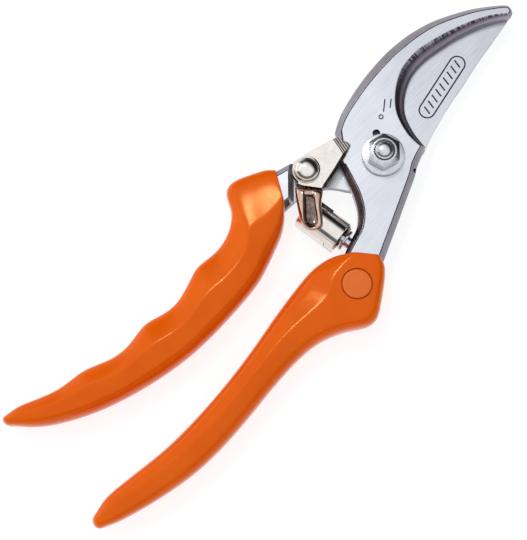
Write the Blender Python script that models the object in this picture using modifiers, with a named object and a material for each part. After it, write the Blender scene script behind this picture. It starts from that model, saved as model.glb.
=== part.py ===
"""Pruning shears with a forged hook half and blade half, a thumb catch and a sleeved coil spring.

Everything is first placed around the pivot: the pivot axis is X = Y = 0, +X runs to the tip,
+Y to the side of the blade half's grip, and +Z to the nut. One empty then moves it all so that
the origin is under the middle of the shears, on the surface that they lie on.
"""

from math import atan2, cos, pi, radians, sin, sqrt, tan

import bmesh
import bpy
from mathutils import Matrix, Vector

MM = 0.001

# Overall reach, measured from the pivot.
HEAD_REACH = 67.7
GRIP_REACH = 150.0
HEAD_ROOT = 28.0
GRIP_ROOT = 52.0

# The forgings, and the plane between them where the edges pass.
SHEAR_Z = 7.4
GAP = 0.3
HOOK_THICKNESS = 4.6
BLADE_THICKNESS = 3.9
HUB_RADIUS = 11.2
LAP_CLEARANCE = 0.6
RAMP_RUN = 2.0
OIL_HOLE_RADIUS = 1.3
OIL_HOLE_DEPTH = 1.2
NICK_RADIUS = 1.0

# The grips.
GRIP_THICKNESS = 14.8
GRIP_CROWN = 0.5
GRIP_END_THICKNESS = 10.4
GRIP_TAPER_FROM = 0.55
GRIP_LIP = 1.0
PLUG_RADIUS = 4.8
PLUG_DEPTH = 1.6
PLUG_PROUD = 0.15

# The pivot.
BOLT_RADIUS = 3.0
BUSH_WALL = 1.0
NUT_FLATS = 10.0
NUT_HEIGHT = 4.7
BOLT_PROUD = 1.5
WASHER_RADIUS = 7.1
WASHER_THICKNESS = 1.2
BACK_WASHER_THICKNESS = 0.8
BOLT_HEAD_RADIUS = 7.0
BOLT_HEAD_HEIGHT = 1.6

# The catch, and the strap that runs from its rivet over the spring.
CATCH_THICKNESS = 1.5
LUG_RADIUS = 1.4
RIVET_RADIUS = 2.0
RIVET_DOME_RADIUS = 4.4
RIVET_DOME_HEIGHT = 2.7
RIVET_TAIL_RADIUS = 3.6
RIVET_TAIL_HEIGHT = 1.3
EYE_RADIUS = 3.7
BRACKET_THICKNESS = 1.2
BRACKET_WIDTH = 8.8
BRACKET_REACH = 20.3
BRACKET_CLIMB = 49.0
BRACKET_FLAT_ROUND_EYE = 0.9
WAVE_WASHER_THICKNESS = 0.6

# The spring, from the blade half's wall to the hook half's wall.
SPRING_LENGTH = 20.7
SLEEVE_RADIUS = 5.4
SLEEVE_WALL = 0.5
SLEEVE_START = 2.9
SLEEVE_END = 17.4
WIRE_RADIUS = 0.6
COIL_TURNS = 8
GUIDE_RADIUS = 2.1
SEAT_FROM_WALL = 0.7
SEAT_THICKNESS = 0.8
SEAT_RADIUS = 3.8
SEAT_STEM_RADIUS = 1.9
SEAT_STEM_LENGTH = 3.6

# Places around the pivot, in plan.
RIVET_AT = (-21.6, 13.9)
LUG_AT = (-8.6, 13.2)
SPRING_FROM = (-30.9, 8.6)
SPRING_TO = (-28.1, -12.4)
BRACKET_END_AT = (-34.8, -1.5)
PLUG_AT = (-37.2, -24.2)
OIL_HOLE_AT = (3.9, 6.8)
NICK_AT = (4.2, -10.9)

# What follows from the sizes above.
BLADE_TOP = SHEAR_Z - GAP / 2
BLADE_BOTTOM = BLADE_TOP - BLADE_THICKNESS
HOOK_BOTTOM = SHEAR_Z + GAP / 2
HOOK_TOP = HOOK_BOTTOM + HOOK_THICKNESS
CATCH_BOTTOM = HOOK_TOP + 0.35
BUSH_RADIUS = BOLT_RADIUS + GAP + BUSH_WALL
PIVOT_HOLE = BUSH_RADIUS + GAP
COIL_RADIUS = SLEEVE_RADIUS - SLEEVE_WALL - GAP - 0.05

# Outlines in plan. A knot is x, y, then the width and the depth of the bevel along that edge.
FLANK = (1.9, 2.6)
SLIM = (0.6, 0.6)
CORE = (1.2, 1.2)
HOOK_RUNS = [
    # The outer side of the tang, inside the grip.
    [(-119, -24.6, *CORE), (-112, -27.0, *CORE), (-98, -27.2, *CORE), (-82, -25.6, *CORE), (-67, -24.6, *CORE),
     (-57, -25.8, *CORE), (-49, -29.2, *CORE), (-41.5, -32.6, *CORE), (-33, -28.9, *FLANK), (-24.5, -24.6, *FLANK),
     (-13, -19.4, *FLANK), (-5.1, -15.8, *FLANK), (2.4, -12.4, *FLANK), (5.6, -10.5, *FLANK),
     (9.0, -9.1, 1.8, 2.4), (12.4, -7.7, 1.2, 2.0)],
    # The shearing edge, with its hollow bevel.
    [(12.4, -7.7, 1.2, 2.0), (13.6, -1.4, 2.6, 3.2), (16.3, 5.0, 3.2, 3.8), (20.9, 9.5, 3.6, 3.9), (27.0, 12.5, 4.0, 3.9),
     (33.7, 13.3, 3.9, 3.9), (40.8, 12.4, 3.5, 3.9), (47.7, 11.0, 2.9, 3.7), (54.0, 9.1, 2.4, 3.3), (60.2, 6.5, 1.8, 2.6),
     (64.9, 3.7, 0.9, 1.6)],
    # The rounded tip and the outer flank.
    [(64.9, 3.7, 0.9, 1.6), (66.4, 3.6, 0.9, 1.6), (67.6, 5.2, 1.0, 1.8), (67.4, 7.3, 1.2, 2.0), (64.1, 10.5, 1.6, 2.4),
     (58.9, 14.4, 1.9, 2.6), (53.1, 17.7, 2.1, 2.6), (46.2, 20.9, 2.3, 2.6), (39.3, 22.9, 2.6, 2.6),
     (32.9, 23.9, 2.8, 2.6), (25.4, 24.2, 2.8, 2.6), (15.3, 23.3, 2.6, 2.6), (6.8, 21.6, 2.3, 2.6), (0.0, 19.6, 2.0, 2.4),
     (-5.0, 17.0, 0.5, 0.5)],
    # The notch that the catch's lug drops into, and the corner below it.
    [(-5.0, 17.0, 0.5, 0.5), (-7.7, 11.1, 0.5, 0.5)],
    [(-7.7, 11.1, 0.5, 0.5), (-9.6, 10.4, 0.5, 0.5), (-11.4, 8.6, 1.0, 1.2)],
    # The hollow side towards the spring, then the inner side of the tang.
    [(-11.4, 8.6, 1.0, 1.2), (-13.9, 3.1, 1.8, 2.4), (-16.2, -2.6, 2.0, 2.6), (-19.1, -7.3, 2.0, 2.6),
     (-22.8, -10.6, 1.8, 2.6), (-27.0, -12.2, 1.6, 2.4), (-31.0, -13.6, 1.4, 2.0), (-35.5, -15.2, *CORE),
     (-44, -14.0, *CORE), (-56, -15.0, *CORE), (-72, -17.8, *CORE), (-88, -20.0, *CORE), (-104, -21.2, *CORE),
     (-119, -21.6, *CORE)],
    [(-119, -21.6, *CORE), (-119, -24.6, *CORE)],
]
BLADE_RUNS = [
    # The cutting edge, which is ground on the underside, then the hub and the tang's outer side.
    [(65.3, 3.7, 0.9, 2.6), (60.6, 7.7, 2.6, 3.4), (54.4, 10.6, 3.8, 3.6), (47.9, 12.7, 4.4, 3.6), (40.8, 14.1, 4.6, 3.6),
     (33.7, 15.0, 4.6, 3.6), (26.5, 14.5, 4.4, 3.6), (18.0, 13.4, 3.0, 3.0), (8.0, 13.2, *SLIM), (-2.0, 13.9, *SLIM),
     (-10.0, 15.6, 1.0, 1.0), (-19.3, 18.7, 1.4, 1.8), (-27.5, 21.2, *FLANK), (-33.5, 23.2, *FLANK),
     (-39.5, 24.6, *CORE), (-43.0, 22.6, *CORE), (-46.6, 17.6, *CORE), (-52.0, 14.4, *CORE), (-60.0, 12.8, *CORE),
     (-71.0, 12.0, *CORE), (-82.0, 9.7, *CORE), (-93.0, 10.6, *CORE), (-104.0, 10.8, *CORE), (-113.0, 12.8, *CORE)],
    [(-113.0, 12.8, *CORE), (-115.5, 9.0, *CORE)],
    # The tang's inner side, the hub beside the spring and the hub under the hook.
    [(-115.5, 9.0, *CORE), (-107.0, 4.6, *CORE), (-95.0, 1.7, *CORE), (-82.3, 0.8, *CORE), (-69.0, 1.5, *CORE),
     (-58.5, 2.9, *CORE), (-48.0, 6.7, *CORE), (-41.5, 9.0, *CORE), (-36.0, 10.1, *FLANK), (-29.0, 9.7, 1.4, 1.8),
     (-20.4, 6.3, 1.0, 1.0), (-15.5, 0.3, *SLIM), (-12.6, -4.2, *SLIM), (-8.4, -7.4, *SLIM), (-3.4, -9.9, *SLIM),
     (2.4, -10.0, *SLIM), (7.6, -8.9, *SLIM), (12.6, -8.0, *SLIM)],
    # The blade's straight back.
    [(12.6, -8.0, *SLIM), (18.0, -6.0, *SLIM), (25.0, -4.0, *SLIM), (32.0, -2.4, *SLIM), (40.0, -0.9, *SLIM),
     (48.0, 0.9, *SLIM), (56.5, 2.3, *SLIM), (65.3, 3.7, 0.9, 2.6)],
]

# The grips' outer and inner edges in plan, each from the mouth to the far end.
HOOK_GRIP_OUTER = [(-24.9, -23.4), (-25.0, -25.4), (-28.6, -29.1), (-35.3, -33.9), (-39.2, -36.4), (-41.8, -36.9),
                   (-44.6, -35.8), (-50.8, -31.7), (-58.6, -28.7), (-67.6, -27.8), (-80.2, -28.5), (-92.5, -29.8),
                   (-106.5, -30.6), (-119.0, -29.9), (-132.4, -27.3), (-143.9, -24.0), (-148.4, -22.0)]
HOOK_GRIP_INNER = [(-32.4, -14.3), (-34.2, -12.8), (-38.0, -11.0), (-43.9, -10.1), (-51.8, -10.8), (-62.4, -12.4),
                   (-75.8, -14.9), (-88.4, -16.7), (-103.6, -17.9), (-117.9, -17.9), (-132.0, -16.4),
                   (-141.5, -15.6), (-147.4, -16.9)]
BLADE_GRIP_OUTER = [(-28.4, 22.2), (-30.4, 24.3), (-34.2, 26.4), (-40.2, 29.1), (-43.8, 29.0), (-46.0, 26.8),
                    (-48.2, 22.4), (-52.1, 19.0), (-56.5, 17.1), (-61.3, 16.3), (-66.3, 16.8), (-70.0, 16.9),
                    (-75.5, 15.0), (-81.8, 13.3), (-87.0, 13.6), (-93.4, 15.4), (-97.6, 15.2), (-103.0, 14.3),
                    (-108.8, 14.8), (-114.0, 16.8), (-119.0, 18.7), (-124.0, 19.3), (-129.3, 20.2), (-135.5, 22.5),
                    (-141.5, 25.0), (-146.4, 25.7)]
BLADE_GRIP_INNER = [(-35.8, 10.0), (-37.8, 7.9), (-41.8, 5.2), (-46.2, 3.4), (-52.0, 1.2), (-58.8, -0.8),
                    (-68.6, -1.9), (-82.3, -2.5), (-94.6, -1.8), (-108.5, 0.8), (-122.4, 5.1), (-134.0, 10.7),
                    (-141.7, 16.1), (-147.0, 21.8)]

COLLECTION = "pruning_shears"
LIGHT_STEEL = ((0.72, 0.74, 0.78), 0.35, 1.0)
NICKEL = ((0.70, 0.65, 0.58), 0.18, 1.0)
SPRING_STEEL = ((0.45, 0.44, 0.43), 0.30, 1.0)
ORANGE = ((0.80, 0.11, 0.004), 0.32, 0.0)
PALE_ORANGE = ((0.84, 0.17, 0.03), 0.30, 0.0)
BRONZE = ((0.55, 0.38, 0.18), 0.40, 1.0)


# ---- Scene helpers -------------------------------------------------------------------------------


def clear_scene():
    for thing in list(bpy.data.objects):
        bpy.data.objects.remove(thing, do_unlink=True)


def new_collection(name):
    collection = bpy.data.collections.new(name)
    bpy.context.scene.collection.children.link(collection)
    return collection


def material(name, finish):
    colour, roughness, metallic = finish
    made = bpy.data.materials.new(name)
    made.use_nodes = True
    shader = made.node_tree.nodes["Principled BSDF"]
    shader.inputs["Base Color"].default_value = (*colour, 1.0)
    shader.inputs["Roughness"].default_value = roughness
    shader.inputs["Metallic"].default_value = metallic
    return made


def finish_mesh(name, bm, at=(0.0, 0.0, 0.0)):
    """An object from a bmesh in millimetres, with its origin at a point in millimetres."""
    bmesh.ops.recalc_face_normals(bm, faces=bm.faces)
    bm.transform(Matrix.Scale(MM, 4) @ Matrix.Translation(-Vector(at)))
    mesh = bpy.data.meshes.new(name)
    bm.to_mesh(mesh)
    bm.free()
    mesh.shade_smooth()
    mesh.set_sharp_from_angle(angle=radians(32))
    thing = bpy.data.objects.new(name, mesh)
    thing.location = Vector(at) * MM
    return thing


def part(name, thing, finish, parts, parent):
    """Files an object as one of the shears' pieces, under the empty that carries it."""
    thing.name = name
    thing.data.name = name
    thing.data.materials.clear()
    thing.data.materials.append(material(name, finish))
    parts.objects.link(thing)
    bpy.context.view_layer.update()
    place = thing.matrix_world.copy()
    thing.parent = parent
    bpy.context.view_layer.update()
    thing.matrix_parent_inverse = parent.matrix_world.inverted()
    thing.matrix_world = place
    return thing


def boolean(target, operation, cutter, cutters):
    """Adds a Boolean modifier. The cutter is parented to its target, so that it moves with it."""
    cutters.objects.link(cutter)
    cutter.parent = target
    cutter.matrix_parent_inverse = target.matrix_basis.inverted()
    cutter.hide_render = True
    cutter.display_type = "WIRE"
    change = target.modifiers.new(cutter.name, "BOOLEAN")
    change.operation = operation
    change.object = cutter


# ---- Geometry helpers ----------------------------------------------------------------------------


def stretched(x):
    """X after the head and the grips take their reach. Near the pivot nothing changes."""
    if x > HEAD_ROOT:
        return HEAD_ROOT + (x - HEAD_ROOT) * (HEAD_REACH - HEAD_ROOT) / (67.7 - HEAD_ROOT)
    if x < -GRIP_ROOT:
        return -GRIP_ROOT + (x + GRIP_ROOT) * (GRIP_REACH - GRIP_ROOT) / (150.0 - GRIP_ROOT)
    return x


def curve_through(knots, steps):
    """Points on a Catmull-Rom curve through the knots. Values after x and y change evenly."""
    knots = [(stretched(knot[0]), *knot[1:]) for knot in knots]
    points = []
    for i in range(len(knots) - 1):
        near, far = knots[i], knots[i + 1]
        before = knots[max(i - 1, 0)]
        after = knots[min(i + 2, len(knots) - 1)]
        for step in range(steps):
            t = step / steps
            plan = [
                0.5 * (2 * b + (c - a) * t + (2 * a - 5 * b + 4 * c - d) * t * t + (3 * b - a - 3 * c + d) * t**3)
                for a, b, c, d in zip(before[:2], near[:2], far[:2], after[:2])
            ]
            rest = [b + (c - b) * t for b, c in zip(near[2:], far[2:])]
            points.append((*plan, *rest))
    points.append(knots[-1])
    return points


def closed_outline(runs, steps):
    """One closed outline from runs that each end where the next begins."""
    outline = []
    for run in runs:
        count = 1 if len(run) == 2 else steps
        outline += curve_through(run, count)[:-1]
    return outline


def inset(outline, distances):
    """The outline moved inwards at each point, with mitred corners. It runs anticlockwise."""
    moved = []
    count = len(outline)
    for i, point in enumerate(outline):
        before = outline[i - 1]
        after = outline[(i + 1) % count]
        first = Vector((point[0] - before[0], point[1] - before[1])).normalized()
        second = Vector((after[0] - point[0], after[1] - point[1])).normalized()
        normal = Vector((-first.y, first.x)) + Vector((-second.y, second.x))
        normal = normal / max(1.0 + first.dot(second), 0.6)
        moved.append((point[0] + normal.x * distances[i], point[1] + normal.y * distances[i]))
    return moved


def anticlockwise(outline):
    area = sum(a[0] * b[1] - b[0] * a[1] for a, b in zip(outline, outline[1:] + outline[:1]))
    return outline if area > 0 else outline[::-1]


def loft(rings):
    """A closed body through rings of equal length, which are lists of points in space."""
    bm = bmesh.new()
    rows = [[bm.verts.new(point) for point in ring] for ring in rings]
    for low, high in zip(rows, rows[1:]):
        for i in range(len(low)):
            j = (i + 1) % len(low)
            bm.faces.new((low[i], low[j], high[j], high[i]))
    bm.faces.new(rows[0][::-1])
    bm.faces.new(rows[-1])
    return bm


def prism(outline, low, high):
    """An upright prism. Its outline is a list of x, y pairs."""
    outline = anticlockwise(outline)
    return loft([[(x, y, z) for x, y in outline] for z in (low, high)])


def cylinder(radius, low, high, at=(0.0, 0.0), sides=32, bevel=0.0):
    """An upright cylinder, with a bevel round its top."""
    bm = bmesh.new()
    bmesh.ops.create_cone(bm, cap_ends=True, segments=sides, radius1=radius, radius2=radius, depth=high - low)
    bmesh.ops.translate(bm, verts=bm.verts, vec=(*at, (low + high) / 2))
    if bevel:
        rim = [e for e in bm.edges if all(v.co.z > high - 1e-4 for v in e.verts)]
        bmesh.ops.bevel(bm, geom=rim, offset=bevel, segments=1, affect="EDGES")
    return bm


def turned(name, profile, at=(0.0, 0.0, 0.0), axis=(0.0, 0.0, 1.0), steps=32):
    """A turned piece. Its profile is (radius, height) pairs from the top to the bottom."""
    bm = bmesh.new()
    row = [bm.verts.new((radius * MM, 0.0, height * MM)) for radius, height in profile]
    for a, b in zip(row, row[1:]):
        bm.edges.new((a, b))
    if profile[0][0] > 0 and profile[-1][0] > 0:
        bm.edges.new((row[-1], row[0]))
    mesh = bpy.data.meshes.new(name)
    bm.to_mesh(mesh)
    bm.free()
    thing = bpy.data.objects.new(name, mesh)
    thing.location = Vector(at) * MM
    thing.rotation_euler = Vector(axis).to_track_quat("Z", "Y").to_euler()
    screw = thing.modifiers.new("turn", "SCREW")
    screw.steps = steps
    screw.render_steps = steps
    screw.use_merge_vertices = True
    screw.merge_threshold = 0.00001
    screw.use_smooth_shade = True
    return thing


def spring_axis():
    start, end = Vector((*SPRING_FROM, SHEAR_Z)), Vector((*SPRING_TO, SHEAR_Z))
    return start, (end - start).normalized()


def along_spring(distance):
    start, direction = spring_axis()
    return start + direction * distance


# ---- The two forged halves -----------------------------------------------------------------------


def forging(runs, grow=0.0, steps=3):
    """A half's full blank: bevelled above and below. Grown, it is the room that a grip leaves for it."""
    outline = anticlockwise(closed_outline(runs, steps))
    edge = inset(outline, [-grow] * len(outline))
    face = inset(outline, [point[2] - grow for point in outline])
    low, high = BLADE_BOTTOM - grow, HOOK_TOP + grow
    return loft([
        [(x, y, low) for x, y in face],
        [(x, y, low + point[3]) for (x, y), point in zip(edge, outline)],
        [(x, y, high - point[3]) for (x, y), point in zip(edge, outline)],
        [(x, y, high) for x, y in face],
    ])


def hook_half(cutters):
    half = finish_mesh("hook_half", forging(HOOK_RUNS))
    reach = HUB_RADIUS + LAP_CLEARANCE
    arc = [(reach * cos(radians(a)), reach * sin(radians(a))) for a in range(-74, -146, -6)]
    head = [(-13.5, -4.9), (-16.6, -0.2), (-22.0, 8.0), (-30.0, 45.0), (HEAD_REACH + 20, 45.0),
            (HEAD_REACH + 20, -16.0), (3.6, -16.0)]
    boolean(half, "DIFFERENCE", finish_mesh("hook_lap", prism(arc + head, BLADE_BOTTOM - 5, HOOK_BOTTOM)), cutters)
    hole = cylinder(PIVOT_HOLE, BLADE_BOTTOM - 5, HOOK_TOP + 5)
    boolean(half, "DIFFERENCE", finish_mesh("hook_pivot_hole", hole), cutters)
    oil = cylinder(OIL_HOLE_RADIUS, HOOK_TOP - OIL_HOLE_DEPTH, HOOK_TOP + 3, OIL_HOLE_AT, sides=16)
    boolean(half, "DIFFERENCE", finish_mesh("oil_hole", oil), cutters)
    nick = cylinder(NICK_RADIUS, BLADE_BOTTOM - 5, HOOK_TOP + 5, NICK_AT, sides=16)
    boolean(half, "DIFFERENCE", finish_mesh("edge_nick", nick), cutters)
    start, direction = spring_axis()
    socket = bmesh.new()
    depth = SEAT_STEM_LENGTH + GAP + 8
    bmesh.ops.create_cone(socket, cap_ends=True, segments=20, radius1=SEAT_STEM_RADIUS + GAP,
                          radius2=SEAT_STEM_RADIUS + GAP, depth=depth)
    middle = along_spring(SPRING_LENGTH - SEAT_FROM_WALL + SEAT_STEM_LENGTH + GAP - depth / 2)
    socket.transform(Matrix.Translation(middle) @ direction.to_track_quat("Z", "Y").to_matrix().to_4x4())
    boolean(half, "DIFFERENCE", finish_mesh("seat_socket", socket), cutters)
    return half


def blade_half(cutters):
    half = finish_mesh("blade_half", forging(BLADE_RUNS))
    # The head is cut down to the lap. The cut ends in a slope beside the catch.
    foot = Vector((0.707, -0.707)) * RAMP_RUN
    top_edge, bottom_edge = Vector((-18.4, 25.8)), Vector((-38.6, 5.6))
    around = [Vector((-38.6, -40.0)), Vector((HEAD_REACH + 20, -40.0)), Vector((HEAD_REACH + 20, 45.0)),
              Vector((-18.4, 45.0))]
    rise = HOOK_TOP - BLADE_TOP
    rings = []
    for z, share in ((BLADE_TOP, 1.0), (BLADE_TOP + 2 * rise, -1.0)):
        edge = [bottom_edge + foot * share, *around, top_edge + foot * share]
        rings.append([(p.x, p.y, z) for p in edge])
    boolean(half, "DIFFERENCE", finish_mesh("blade_lap", loft(rings)), cutters)
    hole = cylinder(PIVOT_HOLE, BLADE_BOTTOM - 5, BLADE_TOP + 5)
    boolean(half, "DIFFERENCE", finish_mesh("blade_pivot_hole", hole), cutters)
    rivet = cylinder(RIVET_RADIUS + GAP, BLADE_BOTTOM - 5, BLADE_TOP + 5, RIVET_AT, sides=24)
    boolean(half, "DIFFERENCE", finish_mesh("rivet_hole", rivet), cutters)
    return half


# ---- The grips -----------------------------------------------------------------------------------


def even_points(knots, count):
    """Points at even steps of length along a curve through the knots."""
    points = [Vector(point) for point in curve_through(knots, 8)]
    lengths = [0.0]
    for a, b in zip(points, points[1:]):
        lengths.append(lengths[-1] + (b - a).length)
    found, i = [], 0
    for step in range(count):
        wanted = lengths[-1] * step / (count - 1)
        while i < len(lengths) - 2 and lengths[i + 1] < wanted:
            i += 1
        share = (wanted - lengths[i]) / (lengths[i + 1] - lengths[i])
        found.append(points[i].lerp(points[i + 1], share))
    return found


def grip_section(outer, inner, thickness=GRIP_THICKNESS, squeeze=1.0, sides=20):
    """A rounded cross-section between two points in plan, with flat lands above and below."""
    middle = (outer + inner) / 2
    reach = (outer - inner) / 2 * squeeze
    half_height = (thickness / 2 + GRIP_CROWN) * squeeze
    ring = []
    for i in range(sides):
        angle = 2 * pi * (i + 0.5) / sides
        across = abs(cos(angle)) ** 0.75 * (1 if cos(angle) > 0 else -1)
        up = abs(sin(angle)) ** 0.75 * (1 if sin(angle) > 0 else -1) * half_height
        up = max(-GRIP_THICKNESS / 2, min(GRIP_THICKNESS / 2, up))
        spot = middle + reach * across
        ring.append((spot.x, spot.y, SHEAR_Z + up))
    return ring


def grip(name, outer_knots, inner_knots, half_runs, cutters, stations=34):
    outer = even_points(outer_knots, stations)
    inner = even_points(inner_knots, stations)
    rings = []
    # The mouth has a rounded lip.
    lip = ((outer[0] - outer[1]) + (inner[0] - inner[1])).normalized() * GRIP_LIP
    rings.append(grip_section(outer[0] + lip * 0.3, inner[0] + lip * 0.3, squeeze=0.9))
    for i in range(stations):
        late = max(0.0, (i / (stations - 1) - GRIP_TAPER_FROM) / (1.0 - GRIP_TAPER_FROM))
        thickness = GRIP_THICKNESS + (GRIP_END_THICKNESS - GRIP_THICKNESS) * late * late
        rings.append(grip_section(outer[i], inner[i], thickness))
    # The far end closes like a ball.
    end = ((outer[-1] - outer[-2]) + (inner[-1] - inner[-2])).normalized() * (outer[-1] - inner[-1]).length / 2
    for turn in (25, 50, 72):
        shift = end * sin(radians(turn))
        rings.append(grip_section(outer[-1] + shift, inner[-1] + shift, GRIP_END_THICKNESS, cos(radians(turn))))
    body = finish_mesh(name, loft(rings))
    room = finish_mesh(name + "_room", forging(half_runs, grow=GAP, steps=2))
    boolean(body, "DIFFERENCE", room, cutters)
    return body


# ---- The pivot -----------------------------------------------------------------------------------


def pivot_parts(parts, root, cutters):
    back = BLADE_BOTTOM - GAP
    washer_low = back - BACK_WASHER_THICKNESS
    head_top = washer_low - GAP
    front = HOOK_TOP + GAP
    nut_low = front + WASHER_THICKNESS + GAP
    nut_top = nut_low + NUT_HEIGHT
    bore = BOLT_RADIUS + GAP
    tip = nut_top + BOLT_PROUD
    bolt = turned("pivot_bolt", [
        (0, tip), (1.3, tip - 0.12), (2.3, tip - 0.5), (BOLT_RADIUS, tip - 1.2), (BOLT_RADIUS, head_top),
        (BOLT_HEAD_RADIUS - 0.5, head_top), (BOLT_HEAD_RADIUS, head_top - 0.4), (BOLT_HEAD_RADIUS, head_top - 0.9),
        (BOLT_HEAD_RADIUS - 0.8, head_top - BOLT_HEAD_HEIGHT), (0, head_top - BOLT_HEAD_HEIGHT)])
    part("pivot_bolt", bolt, LIGHT_STEEL, parts, root)

    bush = turned("pivot_bush", [(BUSH_RADIUS, HOOK_TOP - 0.1), (BUSH_RADIUS, BLADE_BOTTOM + 0.1),
                                 (bore, BLADE_BOTTOM + 0.1), (bore, HOOK_TOP - 0.1)])
    part("pivot_bush", bush, BRONZE, parts, root)

    for name, low, thickness in (("pivot_washer", front, WASHER_THICKNESS),
                                 ("pivot_back_washer", washer_low, BACK_WASHER_THICKNESS)):
        high = low + thickness
        ring = turned(name, [(bore, high), (WASHER_RADIUS - 0.25, high), (WASHER_RADIUS, high - 0.25),
                             (WASHER_RADIUS, low), (bore, low)], steps=40)
        part(name, ring, LIGHT_STEEL, parts, root)

    # The nut is a hexagon whose corners are cut to a cone, above and below.
    corner = NUT_FLATS / sqrt(3)
    hexagon = bmesh.new()
    bmesh.ops.create_cone(hexagon, cap_ends=True, segments=6, radius1=corner, radius2=corner, depth=NUT_HEIGHT)
    turn = Matrix.Rotation(radians(15), 4, "Z")
    hexagon.transform(Matrix.Translation((0, 0, nut_low + NUT_HEIGHT / 2)) @ turn)
    nut = finish_mesh("pivot_nut", hexagon)
    cone = turned("nut_cone", [(0, nut_top + 0.01), (corner - 1.0, nut_top + 0.01), (corner + 0.1, nut_top - 0.62),
                               (corner + 0.1, nut_low + 0.3), (corner - 0.3, nut_low - 0.01), (0, nut_low - 0.01)],
                  steps=48)
    boolean(nut, "INTERSECT", cone, cutters)
    boolean(nut, "DIFFERENCE", finish_mesh("nut_bore", cylinder(bore, nut_low - 2, nut_top + 2)), cutters)
    part("pivot_nut", nut, LIGHT_STEEL, parts, root)


# ---- The catch -----------------------------------------------------------------------------------


def catch_parts(parts, blade_side, catch_side, cutters):
    x, y = RIVET_AT
    eye_low = BLADE_TOP + GAP
    eye_high = eye_low + BRACKET_THICKNESS
    wave_low = CATCH_BOTTOM - GAP - WAVE_WASHER_THICKNESS
    bore = RIVET_RADIUS + GAP

    # The plate, whose thumb end slopes down over the notch.
    round_end = [(x + 5.0 * cos(radians(a)), y + 5.0 * sin(radians(a))) for a in range(95, 186, 15)]
    outline = round_end + [(-26.9, 12.0), (-22.6, 5.6), (-21.0, 5.6), (-8.8, 8.6), (-5.0, 9.9),
                           (-6.1, 14.7), (-8.0, 15.4)]
    plate = prism(outline, CATCH_BOTTOM, CATCH_BOTTOM + CATCH_THICKNESS)
    catch = finish_mesh("lock_catch", plate, (x, y, 0.0))
    lug = cylinder(LUG_RADIUS, HOOK_BOTTOM + GAP, CATCH_BOTTOM + CATCH_THICKNESS / 2, LUG_AT, sides=20)
    boolean(catch, "UNION", finish_mesh("catch_lug", lug), cutters)
    for step in range(4):
        rib = bmesh.new()
        bmesh.ops.create_cube(rib, size=1.0)
        rib.transform(Matrix.Translation((-9.0 + 0.95 * step, 12.0, CATCH_BOTTOM + CATCH_THICKNESS))
                      @ Matrix.Rotation(radians(6), 4, "Z") @ Matrix.Diagonal((0.45, 4.2, 0.7, 1.0)))
        boolean(catch, "UNION", finish_mesh(f"thumb_rib_{step + 1}", rib), cutters)
    hole = cylinder(bore, CATCH_BOTTOM - 2, CATCH_BOTTOM + CATCH_THICKNESS + 2, RIVET_AT, sides=24)
    boolean(catch, "DIFFERENCE", finish_mesh("catch_hole", hole), cutters)
    part("lock_catch", catch, NICKEL, parts, catch_side)

    for name, low, high in (("catch_spacer", eye_high + GAP, wave_low - GAP),
                            ("catch_wave_washer", wave_low, CATCH_BOTTOM - GAP),
                            ("rivet_back_washer", BLADE_BOTTOM - GAP - 0.6, BLADE_BOTTOM - GAP)):
        ring = turned(name, [(EYE_RADIUS, high), (EYE_RADIUS, low), (bore, low), (bore, high)], (x, y, 0.0), steps=24)
        part(name, ring, NICKEL, parts, blade_side)

    dome = CATCH_BOTTOM + CATCH_THICKNESS + GAP
    tail = BLADE_BOTTOM - 2 * GAP - 0.6
    arc = [(RIVET_DOME_RADIUS * sin(radians(a)), dome + 0.5 + RIVET_DOME_HEIGHT * cos(radians(a)))
           for a in range(0, 91, 15)]
    profile = arc + [(RIVET_DOME_RADIUS, dome), (RIVET_RADIUS, dome), (RIVET_RADIUS, tail),
                     (RIVET_TAIL_RADIUS, tail), (RIVET_TAIL_RADIUS - 0.7, tail - RIVET_TAIL_HEIGHT),
                     (0, tail - RIVET_TAIL_HEIGHT)]
    part("catch_rivet", turned("catch_rivet", profile, (x, y, 0.0)), NICKEL, parts, blade_side)


# ---- The spring ----------------------------------------------------------------------------------


def spring_bracket(cutters):
    """A strap from the rivet that climbs over the sleeve, with a round eye and a round far end."""
    thick = BRACKET_THICKNESS
    low = BLADE_TOP + GAP
    over = SHEAR_Z + SLEEVE_RADIUS + GAP
    foot = EYE_RADIUS + BRACKET_FLAT_ROUND_EYE
    crest = foot + (over - low) / tan(radians(BRACKET_CLIMB))
    path = [(-EYE_RADIUS, low), (foot, low), (crest, over), (BRACKET_REACH, over)]
    top = [(-EYE_RADIUS, low + thick), (foot - 0.5, low + thick), (crest - 0.5, over + thick),
           (BRACKET_REACH, over + thick)]
    side = path + top[::-1]
    half = BRACKET_WIDTH / 2
    bm = loft([[(u, across, z) for u, z in anticlockwise(side)] for across in (half, -half)])
    heading = Vector(BRACKET_END_AT) - Vector(RIVET_AT)
    bm.transform(Matrix.Translation((*RIVET_AT, 0)) @ Matrix.Rotation(atan2(heading.y, heading.x), 4, "Z"))
    strap = finish_mesh("spring_bracket", bm)
    # In plan the strap is a round eye, then widens to its full width, and ends in a half circle.
    middle = BRACKET_REACH - half
    eye = [(EYE_RADIUS * cos(radians(a)), EYE_RADIUS * sin(radians(a))) for a in range(90, 271, 15)]
    tongue = [(middle + half * cos(radians(a)), half * sin(radians(a))) for a in range(-90, 91, 15)]
    mask = prism(eye + tongue, 0.0, 30.0)
    mask.transform(Matrix.Translation((*RIVET_AT, 0)) @ Matrix.Rotation(atan2(heading.y, heading.x), 4, "Z"))
    boolean(strap, "INTERSECT", finish_mesh("bracket_mask", mask), cutters)
    hole = cylinder(RIVET_RADIUS + GAP, low - 2, low + thick + 2, RIVET_AT, sides=24)
    boolean(strap, "DIFFERENCE", finish_mesh("bracket_hole", hole), cutters)
    return strap


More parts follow.
